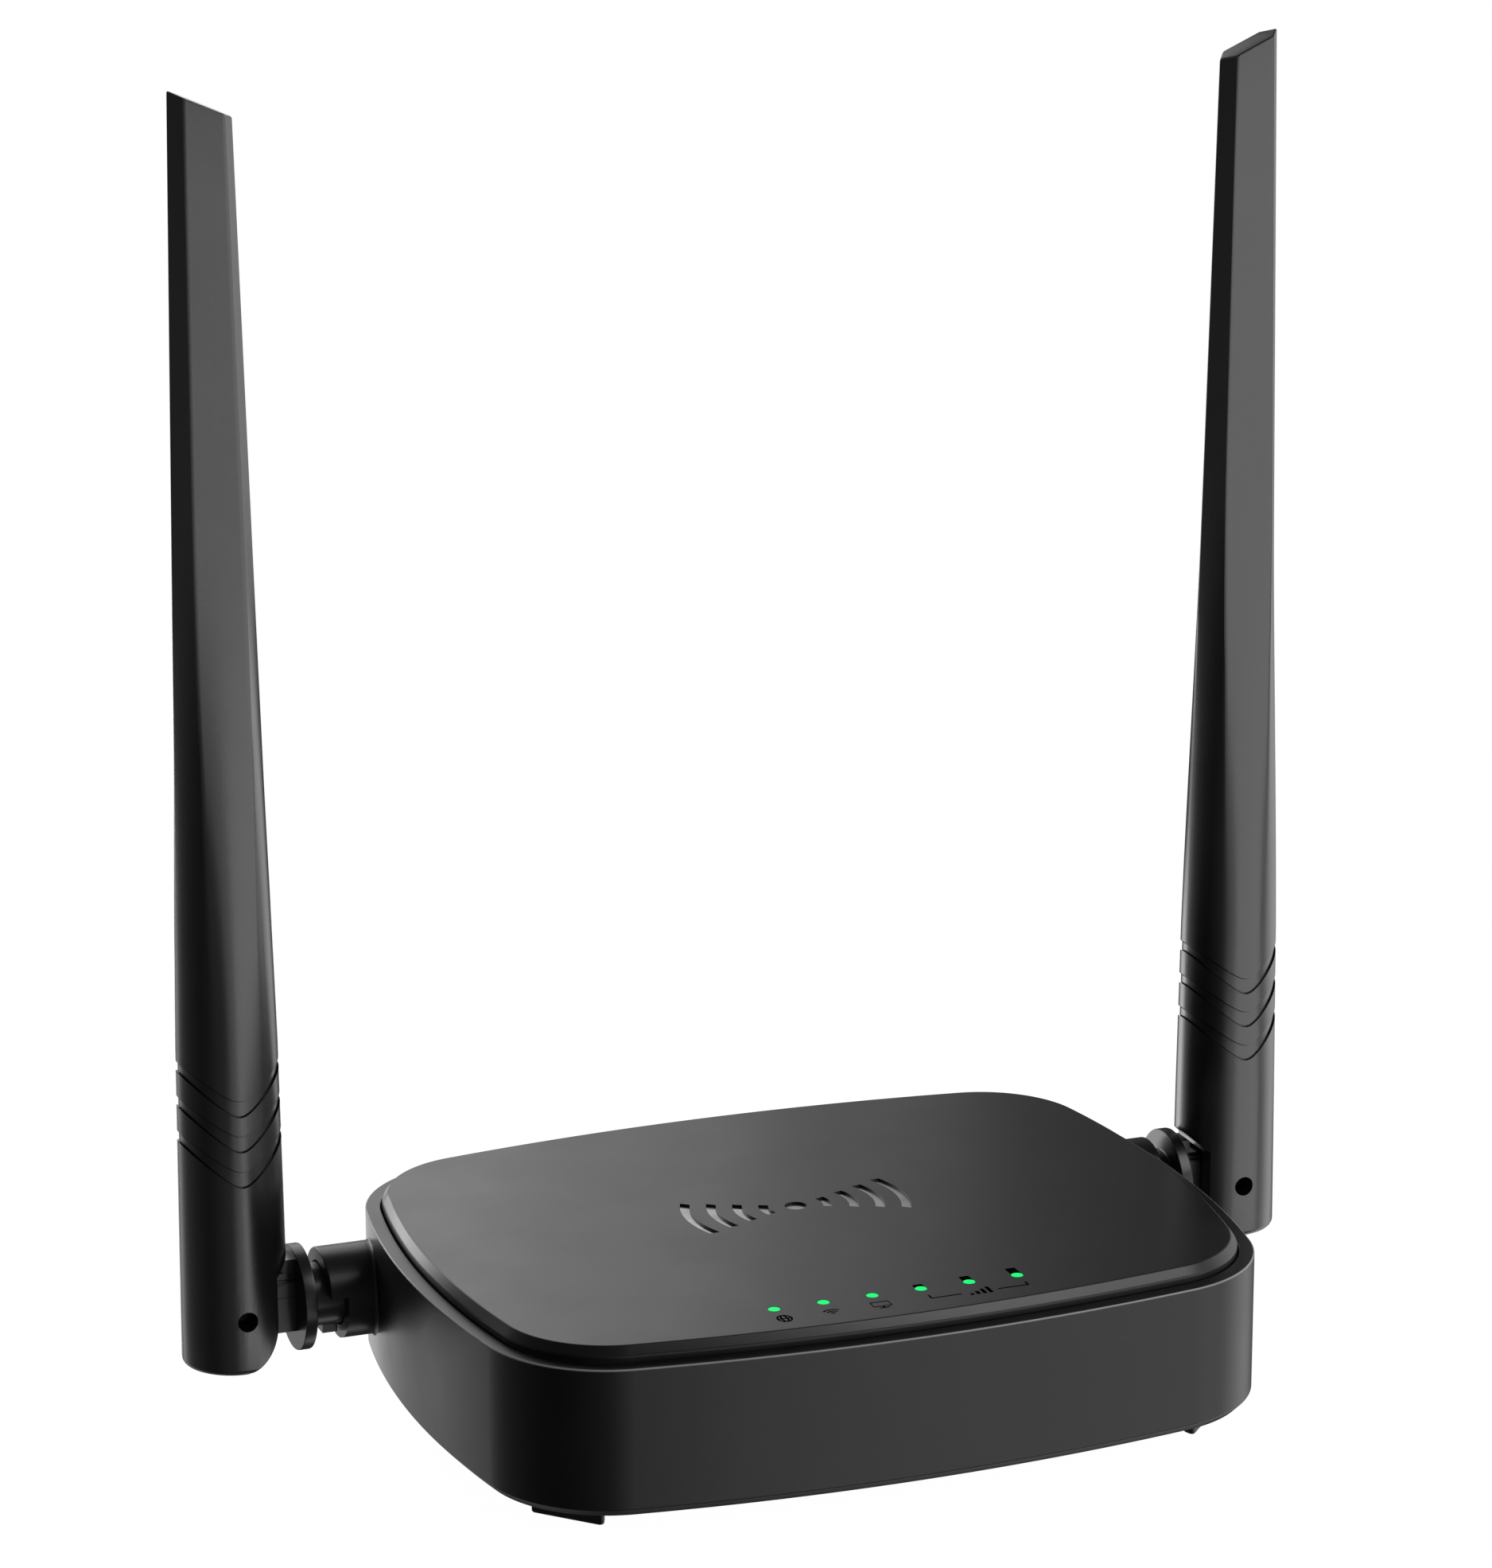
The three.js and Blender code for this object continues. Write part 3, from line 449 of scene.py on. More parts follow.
def place(obj, body, slot, *replaced):
    """Hands a finished piece to its CAD body, in place of the CAD nodes that it replaces."""
    blade = "blade" in obj.name
    shade(obj, BLADE_SHARP_ANGLE if blade else SHARP_ANGLE, weighted=not blade)
    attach(obj, body)
    if replaced:
        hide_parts(*replaced)


def twin(obj, name, change):
    """A copy of a mesh, moved or mirrored by a matrix."""
    mesh = obj.data.copy()
    mesh.transform(change)
    if change.determinant() < 0:
        mesh.flip_normals()
    return add_object(name, mesh)


def mirrored(obj, name):
    """The mirror image of a left-hand mesh."""
    return twin(obj, name, Matrix.Diagonal((-1, 1, 1, 1)))


def both_sides(tool_maker):
    left = tool_maker()
    return merge("pair", [mirrored(left, "right"), left])


def fillet(x0, z0, x1, z1, steps=4, convex=True):
    """A quarter ellipse from (x0, z0) to (x1, z1), leaving along z and arriving along x if convex."""
    points = []
    for i in range(steps + 1):
        t = math.pi / 2 * i / steps
        rise, fall = math.sin(t), 1 - math.cos(t)
        across, up = (fall, rise) if convex else (rise, fall)
        points.append((x0 + (x1 - x0) * across, z0 + (z1 - z0) * up))
    return points


# ---- body outline ----
def corner_centre():
    """The centre of a corner arc that touches both bowed sides, found by settling x and y in turn."""
    x, y = HALF_WIDTH - CORNER, HALF_DEPTH - CORNER
    for _ in range(60):
        x = math.sqrt((SIDE_ARC - CORNER) ** 2 - y * y) - (SIDE_ARC - HALF_WIDTH)
        y = math.sqrt((FRONT_ARC - CORNER) ** 2 - x * x) - (FRONT_ARC - HALF_DEPTH)
    return x, y


CENTRE_X, CENTRE_Y = corner_centre()
FRONT_TURN = math.atan2(CENTRE_X, CENTRE_Y + FRONT_ARC - HALF_DEPTH)
SIDE_TURN = math.atan2(CENTRE_Y, CENTRE_X + SIDE_ARC - HALF_WIDTH)
BOW_STEPS, CORNER_STEPS = 24, 28


def arc(cx, cy, radius, start, end, steps):
    """Points of an arc without its last one."""
    turns = [start + (end - start) * i / steps for i in range(steps)]
    return [(cx + radius * math.cos(t), cy + radius * math.sin(t)) for t in turns]


def outline(inset):
    """The body's outline moved inwards, anticlockwise: bowed sides joined by corner arcs."""
    quarter = math.pi / 2
    side, front, corner = SIDE_ARC - inset, FRONT_ARC - inset, CORNER - inset
    half = arc(HALF_WIDTH - SIDE_ARC, 0, side, -SIDE_TURN, SIDE_TURN, BOW_STEPS)
    half += arc(CENTRE_X, CENTRE_Y, corner, SIDE_TURN, quarter - FRONT_TURN, CORNER_STEPS)
    half += arc(0, HALF_DEPTH - FRONT_ARC, front, quarter - FRONT_TURN, quarter + FRONT_TURN, BOW_STEPS)
    half += arc(-CENTRE_X, CENTRE_Y, corner, quarter + FRONT_TURN, 2 * quarter - SIDE_TURN, CORNER_STEPS)
    return half + [(-x, -y) for x, y in half]


def outline_rings(profile):
    """Rings of the outline for a list of (inset, height)."""
    return [[(x, y, z) for x, y in outline(inset)] for inset, z in profile]


def side_wall(y):
    """How far out the side wall stands at y."""
    edge = CENTRE_Y + CORNER * math.sin(SIDE_TURN)
    if abs(y) <= edge:
        return math.sqrt(SIDE_ARC**2 - y * y) - (SIDE_ARC - HALF_WIDTH)
    return CENTRE_X + math.sqrt(CORNER**2 - (abs(y) - CENTRE_Y) ** 2)


# ---- housing ----
# The sleeve's root: (how far outside its radius, how far inside the side wall).
SLEEVE_ROOT = [(0.55, 0.3), (0.5, 0.0), (0.3, -0.06), (0.13, -0.2), (0.04, -0.36), (0.0, -0.55)]


def sleeve_ring(extra, x_at):
    """A ring about the swivel axis, at x_at(y), extra millimetres outside the sleeve's radius."""
    points = []
    for k in range(ROUND_STEPS):
        t = 2 * math.pi * k / ROUND_STEPS
        r = SLEEVE["radius"] + extra
        y, z = AXIS_Y + r * math.cos(t), AXIS_Z + r * math.sin(t)
        points.append((x_at(y), y, z))
    return points


def sleeve_left():
    """The round sleeve on the left side, with a small fillet that follows the bowed wall."""
    end, edge = SLEEVE["end"], SLEEVE["edge"]
    rings = [sleeve_ring(0.5, lambda y: -SLEEVE["inner"])]
    for extra, inwards in SLEEVE_ROOT:
        rings.append(sleeve_ring(extra, lambda y: -side_wall(y) + inwards))
    for inset, x in fillet(0, end - edge, edge, end, 3):
        rings.append(sleeve_ring(-inset, lambda y: -x))
    return loft("sleeve", rings)


def sleeve_bore():
    bore = [(SLEEVE["bore"], -SLEEVE["end"] - 1), (SLEEVE["bore"], -SLEEVE["inner"] + 1)]
    return lathe("bore", bore, (AXIS_Y, AXIS_Z), "x")


def sleeve_notch():
    """A tool for the opening in the lower part of the sleeve's end, where the knuckle's key swings."""
    notch = box_outline(-SLEEVE["end"] - 1, -SLEEVE["notch"], 0, SLEEVE["top"])
    return prism("notch", notch, AXIS_Y - 10, AXIS_Y + 10, "y")


def tub():
    """The housing as one closed skin: bevelled lower edge, rim edge, inner wall and floor."""
    bevel_top = BOTTOM + EDGE_CHAMFER
    profile = [(EDGE_CHAMFER + 0.1, BOTTOM), (EDGE_CHAMFER - 0.08, BOTTOM + 0.05)]
    profile += [(0.1, bevel_top - 0.1), (0.02, bevel_top + 0.03), (0, bevel_top + 0.2)]
    profile += fillet(0, RIM_TOP - RIM_ROUND, RIM_ROUND, RIM_TOP)
    inner = RIM_INNER_ROUND
    profile += fillet(WALL - inner, RIM_TOP, WALL, RIM_TOP - inner, 3, convex=False)
    profile += [(WALL, FLOOR_TOP + 0.4), (WALL + 0.4, FLOOR_TOP)]
    return loft("housing_shell", outline_rings(profile), SHELL)


def bay_wall():
    """Thickens the rear wall behind the port bay."""
    reach = BAY["half"] + 2
    rear = [(x, y) for x, y in outline(1.0) if y > 0 and abs(x) < reach]
    wall = [(-reach, BAY["inner"]), (reach, BAY["inner"])] + sorted(rear, reverse=True)
    return prism("bay_wall", wall, FLOOR_TOP - 1, BAY["wall_top"])


def bay_recess():
    middle = (BAY["bottom"] + BAY["top"]) / 2
    recess = rounded(1.0, 6, BAY["half"], middle - BAY["bottom"], 0, middle)
    return prism("bay", recess, BAY["face"], HALF_DEPTH + 2, "y")


def bay_mouths():
    """The openings for the network jacks, the power inlet, the card socket and the button."""
    low, back = BOARD_TOP - 0.2, BAY["inner"] - 1
    jack_top, power_top = BOARD_TOP + JACK["height"] + 0.4, BOARD_TOP + POWER["height"] + 0.4
    mouths = [
        (WAN_X, JACK["half"] + 0.3, low, jack_top),
        (LAN_X, JACK["half"] + 0.3, low, jack_top),
        (POWER["x"], POWER["half"] + 0.3, low, power_top),
        (SIM["x"], SIM["half"], BOARD_TOP + SIM["low"], BOARD_TOP + SIM["high"]),
    ]
    tools = []
    for x, half, z0, z1 in mouths:
        corners = rounded(0.4, 4, half, (z1 - z0) / 2, x, (z0 + z1) / 2)
        tools.append(prism("mouth", corners, back, HALF_DEPTH, "y"))
    hole = [(BUTTON["hole"], back), (BUTTON["hole"], HALF_DEPTH)]
    tools.append(lathe("button_hole", hole, (BUTTON["x"], BUTTON["z"]), "y", 48))
    return merge("mouths", tools)


def screw_columns(size, low, steps):
    """A round column at each case screw, from low up to its top."""
    x, y = CASE_SCREW_PLACE
    places = [(sx * x, sy * y) for sx in (-1, 1) for sy in (-1, 1)]
    profile = [(size["radius"], low), (size["radius"], size["top"])]
    return merge("columns", [lathe("column", profile, spot, steps=steps) for spot in places])


def vents_and_label():
    """Slots through the floor, and the shallow recess for a label, left blank."""
    v, tools = VENTS, []
    for i in range(v["count"]):
        x = (i - v["count"] // 2) * v["pitch"]
        slot = rounded(v["corner"], 5, v["half"], v["reach"], x, v["y"])
        tools.append(prism("slot", slot, 0, FLOOR_TOP + 1))
    label = rounded(LABEL["corner"], 5, LABEL["half_width"], LABEL["half_depth"], 0, LABEL["y"])
    tools.append(prism("label", label, 0, BOTTOM + LABEL["depth"]))
    return merge("underside", tools)


def base_shell():
    shell = tub()
    join(shell, bay_wall())
    join(shell, both_sides(sleeve_left))
    join(shell, screw_columns(POST, FLOOR_TOP - 1, 32))
    carve(shell, bay_recess())
    carve(shell, bay_mouths())
    carve(shell, both_sides(sleeve_bore))
    carve(shell, both_sides(sleeve_notch))
    carve(shell, screw_columns(SCREW_WELL, 0, 48))
    carve(shell, screw_columns(SCREW_SHANK, 0, 24))
    carve(shell, vents_and_label())
    place(shell, "housing", "shell_plastic", "base_shell")


# ---- lid and lights ----
def light_x(i):
    return (i - (LIGHTS - 1) / 2) * LIGHT_PITCH


# Generic broadcast sign: a dot between arcs that widen to both sides.
EMBLEM = {"x": -0.5, "y": 2.5, "radii": (5.0, 9.0, 13.0, 17.0), "stroke": 1.5, "spread": 24, "dot": 1.7}
EMBLEM_FLOOR = LID_TOP - 0.4


def emblem_shapes(margin=0.0):
    """Outlines of the emblem: the dot, then the arcs."""
    e = EMBLEM
    shapes = [arc(e["x"], e["y"], e["dot"] - margin, 0, 2 * math.pi, 48)]
    spread, half = math.radians(e["spread"]), e["stroke"] / 2 - margin
    for middle in (0, math.pi):
        for radius in e["radii"]:
            turn = spread - margin / radius
            outer = arc(e["x"], e["y"], radius + half, middle - turn, middle + turn, 32)
            shapes.append(outer + arc(e["x"], e["y"], radius - half, middle + turn, middle - turn, 32))
    return shapes


def emblem_inlay():
    """Grey plates that line the floor of the sunk emblem."""
    low, high = EMBLEM_FLOOR - 0.02, EMBLEM_FLOOR + 0.05
    plates = [prism("plate", shape, low, high) for shape in emblem_shapes(0.04)]
    place(merge("emblem_inlay", plates, INLAY), "housing", "lid_plastic")


def bar_shapes(margin=0.0):
    """Slots that run back from the last three lights, one step longer each time."""
    shapes = []
    for i in range(LIGHTS // 2, LIGHTS):
        far = 1.0 + 0.65 * (i - 2)
        shapes.append(rounded(0.2, 3, 0.8 - margin, far / 2 - margin, light_x(i), LIGHT_Y + far / 2))
    return shapes


def paint_slot_shade():
    """Matt black strips that fill the slots almost to the lid's face: painted shade that makes the slots
    read as dark recesses.
    """
    low, high = LID_TOP - 0.85, LID_TOP - 0.07
    shades = [prism("shade", shape, low, high) for shape in bar_shapes(0.03)]
    place(merge("light_slot_shades", shades, PRINT_AND_SLOT_SHADE), "housing", "lid_plastic")


def lid_profile():
    """(inset, height) points up the skirt, round the shoulder and over the chamfer to the face."""
    slope, face = LID_CHAMFER / (LID_TOP - LID_SHOULDER), LID_INSET + LID_CHAMFER
    return [
        (LID_INSET, SKIRT_BOTTOM), (LID_INSET, LID_SHOULDER - 0.2),
        (LID_INSET + 0.02, LID_SHOULDER - 0.08), (LID_INSET + 0.08, LID_SHOULDER + 0.08),
        (LID_INSET + 0.2 * slope, LID_SHOULDER + 0.22), (face - 0.16 * slope, LID_TOP - 0.16),
        (face - 0.02, LID_TOP - 0.05), (face + 0.08, LID_TOP - 0.01), (face + 0.25, LID_TOP),
    ]


def top_cover():
    lid = loft("lid", outline_rings(lid_profile()), LID)
    inner = LID_INSET + SKIRT
    carve(lid, loft("underside", outline_rings([(inner, SKIRT_BOTTOM - 1), (inner, LID_UNDERSIDE)])))
    bay_relief = box_outline(-42, 42, 43, HALF_DEPTH)
    carve(lid, prism("relief", bay_relief, SKIRT_BOTTOM - 1, LID_UNDERSIDE))
    tools = [prism("sunk", shape, EMBLEM_FLOOR, LID_TOP + 1) for shape in emblem_shapes()]
    for i in range(LIGHTS):
        hole = [(LIGHT_HOLE, 25), (LIGHT_HOLE, 30)]
        tools.append(lathe("hole", hole, (light_x(i), LIGHT_Y), steps=48))
    carve(lid, merge("holes", tools))
    carve(lid, merge("bars", [prism("bar", s, LID_TOP - 0.9, LID_TOP + 1) for s in bar_shapes()]))
    place(lid, "housing", "lid_plastic", "top_cover")


def light_windows():
    """Lit discs that almost fill the light holes, just below the lid's face."""
    radius, inner, top, bottom = 0.9, 0.8, LID_TOP - 0.01, LID_TOP - 1.4
    profile = [(inner, bottom), (radius, LID_TOP - 1.3)]
    profile += [(radius, top - 0.08), (radius - 0.03, top - 0.02), (inner, top)]
    for i in range(LIGHTS):
        name, centre = f"light_window_{i + 1}", (light_x(i), LIGHT_Y)
        place(lathe(name, profile, centre, steps=48, material=LENS_LIT), "housing", "light_lens")


# ---- printed legend ----
PRINT_LOW, PRINT_HIGH = LID_TOP - 0.01, LID_TOP + 0.012
STROKE = 0.3
LEGEND_Y, GLOBE_X, WIRELESS_X, SCREEN_X, BARS_X = -41.0, -19.2, -11.8, -4.0, 11.5


def printed(shape):
    return prism("print", shape, PRINT_LOW, PRINT_HIGH)


def stroke(points, closed=False):
    """A printed line through points: one thin ribbon, or one piece per side if closed."""
    count = len(points)
    left, right = [], []
    for i, (x, y) in enumerate(points):
        before = points[i - 1] if i or closed else points[0]
        after = points[(i + 1) % count] if i + 1 < count or closed else points[-1]
        dx, dy = after[0] - before[0], after[1] - before[1]
        size = math.hypot(dx, dy) or 1
        nx, ny = -dy / size * STROKE / 2, dx / size * STROKE / 2
        left.append((x + nx, y + ny))
        right.append((x - nx, y - ny))
    if not closed:
        return [printed(left + right[::-1])]
    ends = [(i, (i + 1) % count) for i in range(count)]
    return [printed([left[i], left[j], right[j], right[i]]) for i, j in ends]


def ellipse(cx, cy, rx, ry, steps=24):
    angles = [2 * math.pi * k / steps for k in range(steps)]
    return [(cx + rx * math.cos(t), cy + ry * math.sin(t)) for t in angles]


def globe_sign(x, y):
    half_width, half_height, meridian = 1.05, 1.25, 0.42
    parts = stroke(ellipse(x, y, half_width, half_height), closed=True)
    parts += stroke(ellipse(x, y, meridian, half_height), closed=True)
    return parts + stroke([(x - half_width, y), (x + half_width, y)])


def wireless_sign(x, y):
    parts = []
    for radius in (0.55, 1.2, 1.85):
        parts += stroke(arc(x, y - 1.0, radius, math.radians(48), math.radians(140), 12))
    return parts


def screen_sign(x, y):
    half, foot, low, high, base = 1.4, 0.8, y - 0.5, y + 1.2, y - 1.15
    parts = stroke([(x - half, low), (x + half, low), (x + half, high), (x - half, high)], closed=True)
    parts += stroke([(x, low), (x, base)])
    return parts + stroke([(x - foot, base), (x + foot, base)])


def signal_sign(x, y):
    """Four rising bars, in a bracket that spans the last three lights."""
    parts = []
    for k in range(4):
        middle = x - 1.5 + 1.0 * k
        parts.append(printed(box_outline(middle - 0.3, middle + 0.3, y - 1.1, y - 0.5 + 0.6 * k)))
    reach, gap, line = 7.7, 2.9, y - 0.15
    for side in (-1, 1):
        parts += stroke([(x + side * reach, y + 1.1), (x + side * reach, line)])
        parts += stroke([(x + side * (reach + 0.1), line), (x + side * gap, line)])
    return parts


def legend():
    """Generic signs under the lights."""
    parts = globe_sign(GLOBE_X, LEGEND_Y) + wireless_sign(WIRELESS_X, LEGEND_Y)
    parts += screen_sign(SCREEN_X, LEGEND_Y) + signal_sign(BARS_X, LEGEND_Y)
    place(merge("legend_signs", parts, PRINT_AND_SLOT_SHADE), "housing", "lid_plastic")


# ---- feet and screws ----
FOOT_BAR = {"inner": 13.0, "outer": 15.0, "start": 200.0, "end": 247.5, "corner": 0.5, "edge": 0.35}


def foot_front_left():
    """A bar bent about the corner's centre, with rounded corners and lower edge."""
    f, edge = FOOT_BAR, FOOT_BAR["edge"]
    middle, half = math.radians((f["start"] + f["end"]) / 2), math.radians((f["end"] - f["start"]) / 2)
    radius, half_thick = (f["inner"] + f["outer"]) / 2, (f["outer"] - f["inner"]) / 2
    rings = []
    for inset, z in [(0, BOTTOM - GAP)] + fillet(0, edge, edge, 0):
        ring = []
        for u, v in rounded(f["corner"], 5, half * radius - inset, half_thick - inset):
            t = middle + u / radius
            ring.append((-CENTRE_X + (radius + v) * math.cos(t), -CENTRE_Y + (radius + v) * math.sin(t), z))
        rings.append(ring)
    return loft("foot_pad_front_left", rings, FOOT)


def feet():
    """Four pads: the first, and three mirrored copies that keep what it was handed over with."""
    first = foot_front_left()
    for side, sx in (("left", 1), ("right", -1)):
        for end, sy in (("front", 1), ("rear", -1)):
            pad = first
            if (sx, sy) != (1, 1):
                pad = first.copy()
                pad.name = f"foot_pad_{end}_{side}"
                pad.data = first.data.copy()
                pad.data.transform(Matrix.Diagonal((sx, sy, 1, 1)))
                if sx * sy < 0:
                    pad.data.flip_normals()
                bpy.context.scene.collection.objects.link(pad)
            place(pad, "housing", "foot_rubber", f"foot_{end}_{side}")


def case_screws():
    """Pan-head screws that point up, with a tapered cross recess."""
    z = BOTTOM + 0.5
    profile = [(1.9, z), (2.4, z + 0.12), (2.65, z + 0.5), (2.7, z + 0.9), (2.7, z + 1.9)]
    profile += [(1.25, z + 1.9), (1.25, z + 12.2), (0.3, z + 13)]
    screw = lathe("screw", profile, (0, 0), steps=48, material=STEEL)
    for across in (True, False):
        rings = []
        for reach, height in ((1.55, z - 0.2), (0.9, z + 1.4)):
            flat = box_outline(-reach, reach, -0.33, 0.33)
            rings.append([(u, v, height) if across else (v, u, height) for u, v in flat])
        carve(screw, loft("recess", rings))
    x, y = CASE_SCREW_PLACE
    for i, (sx, sy) in enumerate(((-1, -1), (1, -1), (-1, 1), (1, 1))):
        shift = Matrix.Translation(Vector((sx * x, sy * y, 0)) * MM)
        piece = twin(screw, f"case_screw_head_{i + 1}", shift)
        place(piece, "housing", "screw_steel", f"case_screw_{i + 1}")
    bpy.data.objects.remove(screw)


# ---- rear bay ----
# A contact wire's outline: (back from the jack's front, up from its base).
CONTACT_BEND = [(13.2, 2.35), (3.2, 2.25), (3.0, 2.55), (9.8, 5.0), (10.1, 4.85), (4.0, 2.62), (13.2, 2.7)]


def network_jack(name, x):
    """A socket with a latch slot and gold contact wires."""
    base, front = BOARD_TOP + GAP, JACK["front"]
    outer = rounded(0.35, 4, JACK["half"], JACK["height"] / 2, x, base + JACK["height"] / 2)
    jack = prism(name + "_jack", outer, front - JACK["depth"], front, "y", PORT)
    s, p = JACK_SOCKET, JACK_LATCH
    socket = box_outline(x - s["half"], x + s["half"], base + s["low"], base + s["high"])
    carve(jack, prism("socket", socket, front - s["depth"], front + 1, "y"))
    latch = [(x - p["half"], base + p["low"]), (x + p["half"], base + p["low"])]
    latch += [(x + p["half"], base + p["shoulder"]), (x + p["tip"], base + p["high"])]
    latch += [(x - p["tip"], base + p["high"]), (x - p["half"], base + p["shoulder"])]
    carve(jack, prism("latch", latch, front - p["depth"], front + 1, "y"))
    soften(jack, 0.18)
    place(jack, "housing", "port_plastic", name + "_port")

    bend = [(front - back, base + up) for back, up in CONTACT_BEND]
    wires = []
    for k in range(CONTACTS["count"]):
        wire_x = x + (k - (CONTACTS["count"] - 1) / 2) * CONTACTS["pitch"]
        wires.append(prism("wire", bend, wire_x - CONTACTS["half"], wire_x + CONTACTS["half"], "x"))
    place(merge(name + "_contacts", wires, GOLD), "housing", "contact_brass")


def power_inlet():
    p, base, front = POWER, BOARD_TOP + GAP, JACK["front"]
    centre = (p["x"], base + p["rise"])
    block = rounded(0.6, 4, p["half"], p["height"] / 2, p["x"], base + p["height"] / 2)
    body = prism("power_inlet", block, front - p["depth"], front, "y", PORT)
    bore = [(p["bore"], front - 10), (p["bore"], front - 0.5)]
    bore += [(p["bore"] + 0.5, front + 0.02), (p["bore"] + 0.5, front + 1)]
    carve(body, lathe("bore", bore, centre, "y", 64))
    soften(body, 0.2)
    place(body, "housing", "port_plastic", "power_jack")
    pin = [(p["pin"], front - 9.95), (p["pin"], front - 1.7)]
    pin += [(p["pin"] * 0.85, front - 1.1), (p["pin"] * 0.4, front - 0.8)]
    place(lathe("power_pin", pin, centre, "y", 32, STEEL), "housing", "screw_steel", "power_jack_pin")


def push_button():
    """A stem and a collar behind the wall, and a rounded cap with a shallow dish."""
    b, end = BUTTON, BAY["face"] + BUTTON["proud"]
    profile = [(1.2, 42.6), (1.2, 43.7), (3.3, 43.7), (3.3, 44.5), (b["radius"], 44.5)]
    profile += [(b["radius"] - inset, y) for inset, y in fillet(0, end - 0.4, 0.4, end)]
    profile += [(0.9, end), (0.5, end - 0.12)]
    button = lathe("push_button", profile, (b["x"], b["z"]), "y", 64, BUTTON_PLASTIC)
    place(button, "wps_button", "button_plastic", "wps_button")


# ---- knuckles ----
# The moulded edge along the tongue's top: (in from the face, up from the top).
TONGUE_EDGE = [
    (-1, 0.4), (0.55, 0.4), (0.55, 0), (0.12, -0.68), (0.45, -0.7), (0.45, -0.96), (0.3, -1.05),
    (0.13, -1.35), (0.03, -1.7), (0, -2), (-1, -2),
]


def knuckle_turned():
    """The turned part: barbed plug and flange."""
    p, f, edge = PLUG, FLANGE, FLANGE["edge"]
    profile = [(p["barb"] - 0.5, -p["inner"]), (p["barb"], -p["inner"] - 0.5)]
    profile += [(p["barb"], -p["inner"] - 1.3), (p["radius"], -p["inner"] - 1.3)]
    profile += [(p["radius"], -f["inner"] + 0.2), (p["radius"] + 0.2, -f["inner"])]
    profile += [(f["radius"] - edge, -f["inner"]), (f["radius"] - 0.06, -f["inner"] - 0.06)]
    profile += [(f["radius"], -f["inner"] - edge), (f["radius"], -f["outer"] + edge)]
    profile += [(f["radius"] - 0.06, -f["outer"] + 0.06), (f["radius"] - edge, -f["outer"])]
    return lathe("left_knuckle_joint", profile, (AXIS_Y, AXIS_Z), "x", material=KNUCKLE)


def knuckle_left():
    t, start, top = TONGUE, -FLANGE["outer"] + 0.5, AXIS_Z + TONGUE["radius"]
    front, back = AXIS_Y - t["half"], AXIS_Y + t["half"]
    knuckle = knuckle_turned()

    half_height = KEY["height"] / 2
    key = rounded(0.15, 2, KEY["half"], half_height, AXIS_Y, AXIS_Z - KEY["reach"] + half_height)
    join(knuckle, prism("key", key, -KEY["outer"], -KEY["inner"], "x"))

    tab = [(start, top)] + arc(-PIN_X, AXIS_Z, t["radius"], math.pi / 2, 1.5 * math.pi, 40)
    tab += [(-PIN_X, AXIS_Z - t["radius"]), (start, AXIS_Z - t["radius"])]
    join(knuckle, prism("tab", tab, front, back, "y"))

    end = -t["stop_end"]
    stop = [(start, top - 1), (start, t["stop"]), (end + 0.2, t["stop"]), (end, t["stop"] - 0.2)]
    stop += [(end, top + 0.6), (end + 0.5, top - 0.2), (end + 0.5, top - 1)]
    join(knuckle, prism("stop", stop, front + 0.5, back - 0.5, "y"))

    tools = []
    for sign in (1, -1):
        face = AXIS_Y - sign * t["half"]
        edge = [(face + sign * u, top + v) for u, v in TONGUE_EDGE]
        tools.append(prism("edge", edge, -PIN_X - 1, -FLANGE["outer"], "x"))
        seam = box_outline(face - 0.1 * sign, face + 0.09 * sign, 16.28, 16.38)
        tools.append(prism("seam", seam, -79, -FLANGE["outer"], "x"))
    carve(knuckle, merge("tongue_edges", tools))
    pin_hole = [(PIN_HOLE, front - 1), (PIN_HOLE, back + 1)]
    carve(knuckle, lathe("pin_hole", pin_hole, (-PIN_X, AXIS_Z), "y", 64))
    cable_hole = [(CABLE_HOLE, -FLANGE["outer"] + 1), (CABLE_HOLE, -PLUG["inner"] + 1)]
    carve(knuckle, lathe("cable_hole", cable_hole, (AXIS_Y, AXIS_Z), "x", 32))
    return knuckle


# ---- antennas ----
HEXAGON = [(1, 0), (FACET, 1), (-FACET, 1), (-1, 0), (-FACET, -1), (FACET, -1)]
# Places along each side of the section. They stop just short of its ends, which bevels the corners.
EDGE_STEPS = [0.022] + [i / 12 for i in range(1, 12)] + [0.978]
CHEEK = {"edge": 5.2, "top": 21.1, "flare": 3.2, "rise": 2.85, "corner_x": -1.7, "corner": 6.9}


def smooth(t):
    t = min(1.0, max(0.0, t))
    return t * t * (3 - 2 * t)


def antenna_half(z):
    above, below = TIP_Z + 2 - max(z, ROOT_TOP), max(0, ROOT_TOP - z)
    return TIP_HALF + BLADE_TAPER * above + ROOT_TAPER * below


def antenna_point(k, part, z, shrink):
    """A point of the section at z: a hexagon near the tip that turns into an ellipse at the root."""
    width = antenna_half(z)
    blade = TIP_DEPTH + DEPTH_TAPER * (TIP_Z + 2 - z)
    root = width * (0.905 + 0.075 * smooth((57 - z) / 30))
    blend = smooth((BLADE_START - z) / (BLADE_START - 57))
    (x0, y0), (x1, y1) = HEXAGON[k], HEXAGON[(k + 1) % 6]
    turn = (k + part) / 6 * 2 * math.pi
    x = (width - shrink) * ((x0 + (x1 - x0) * part) * (1 - blend) + math.cos(turn) * blend)
    y = (blade - shrink) * (y0 + (y1 - y0) * part) * (1 - blend) + (root - shrink) * math.sin(turn) * blend
    return x, y


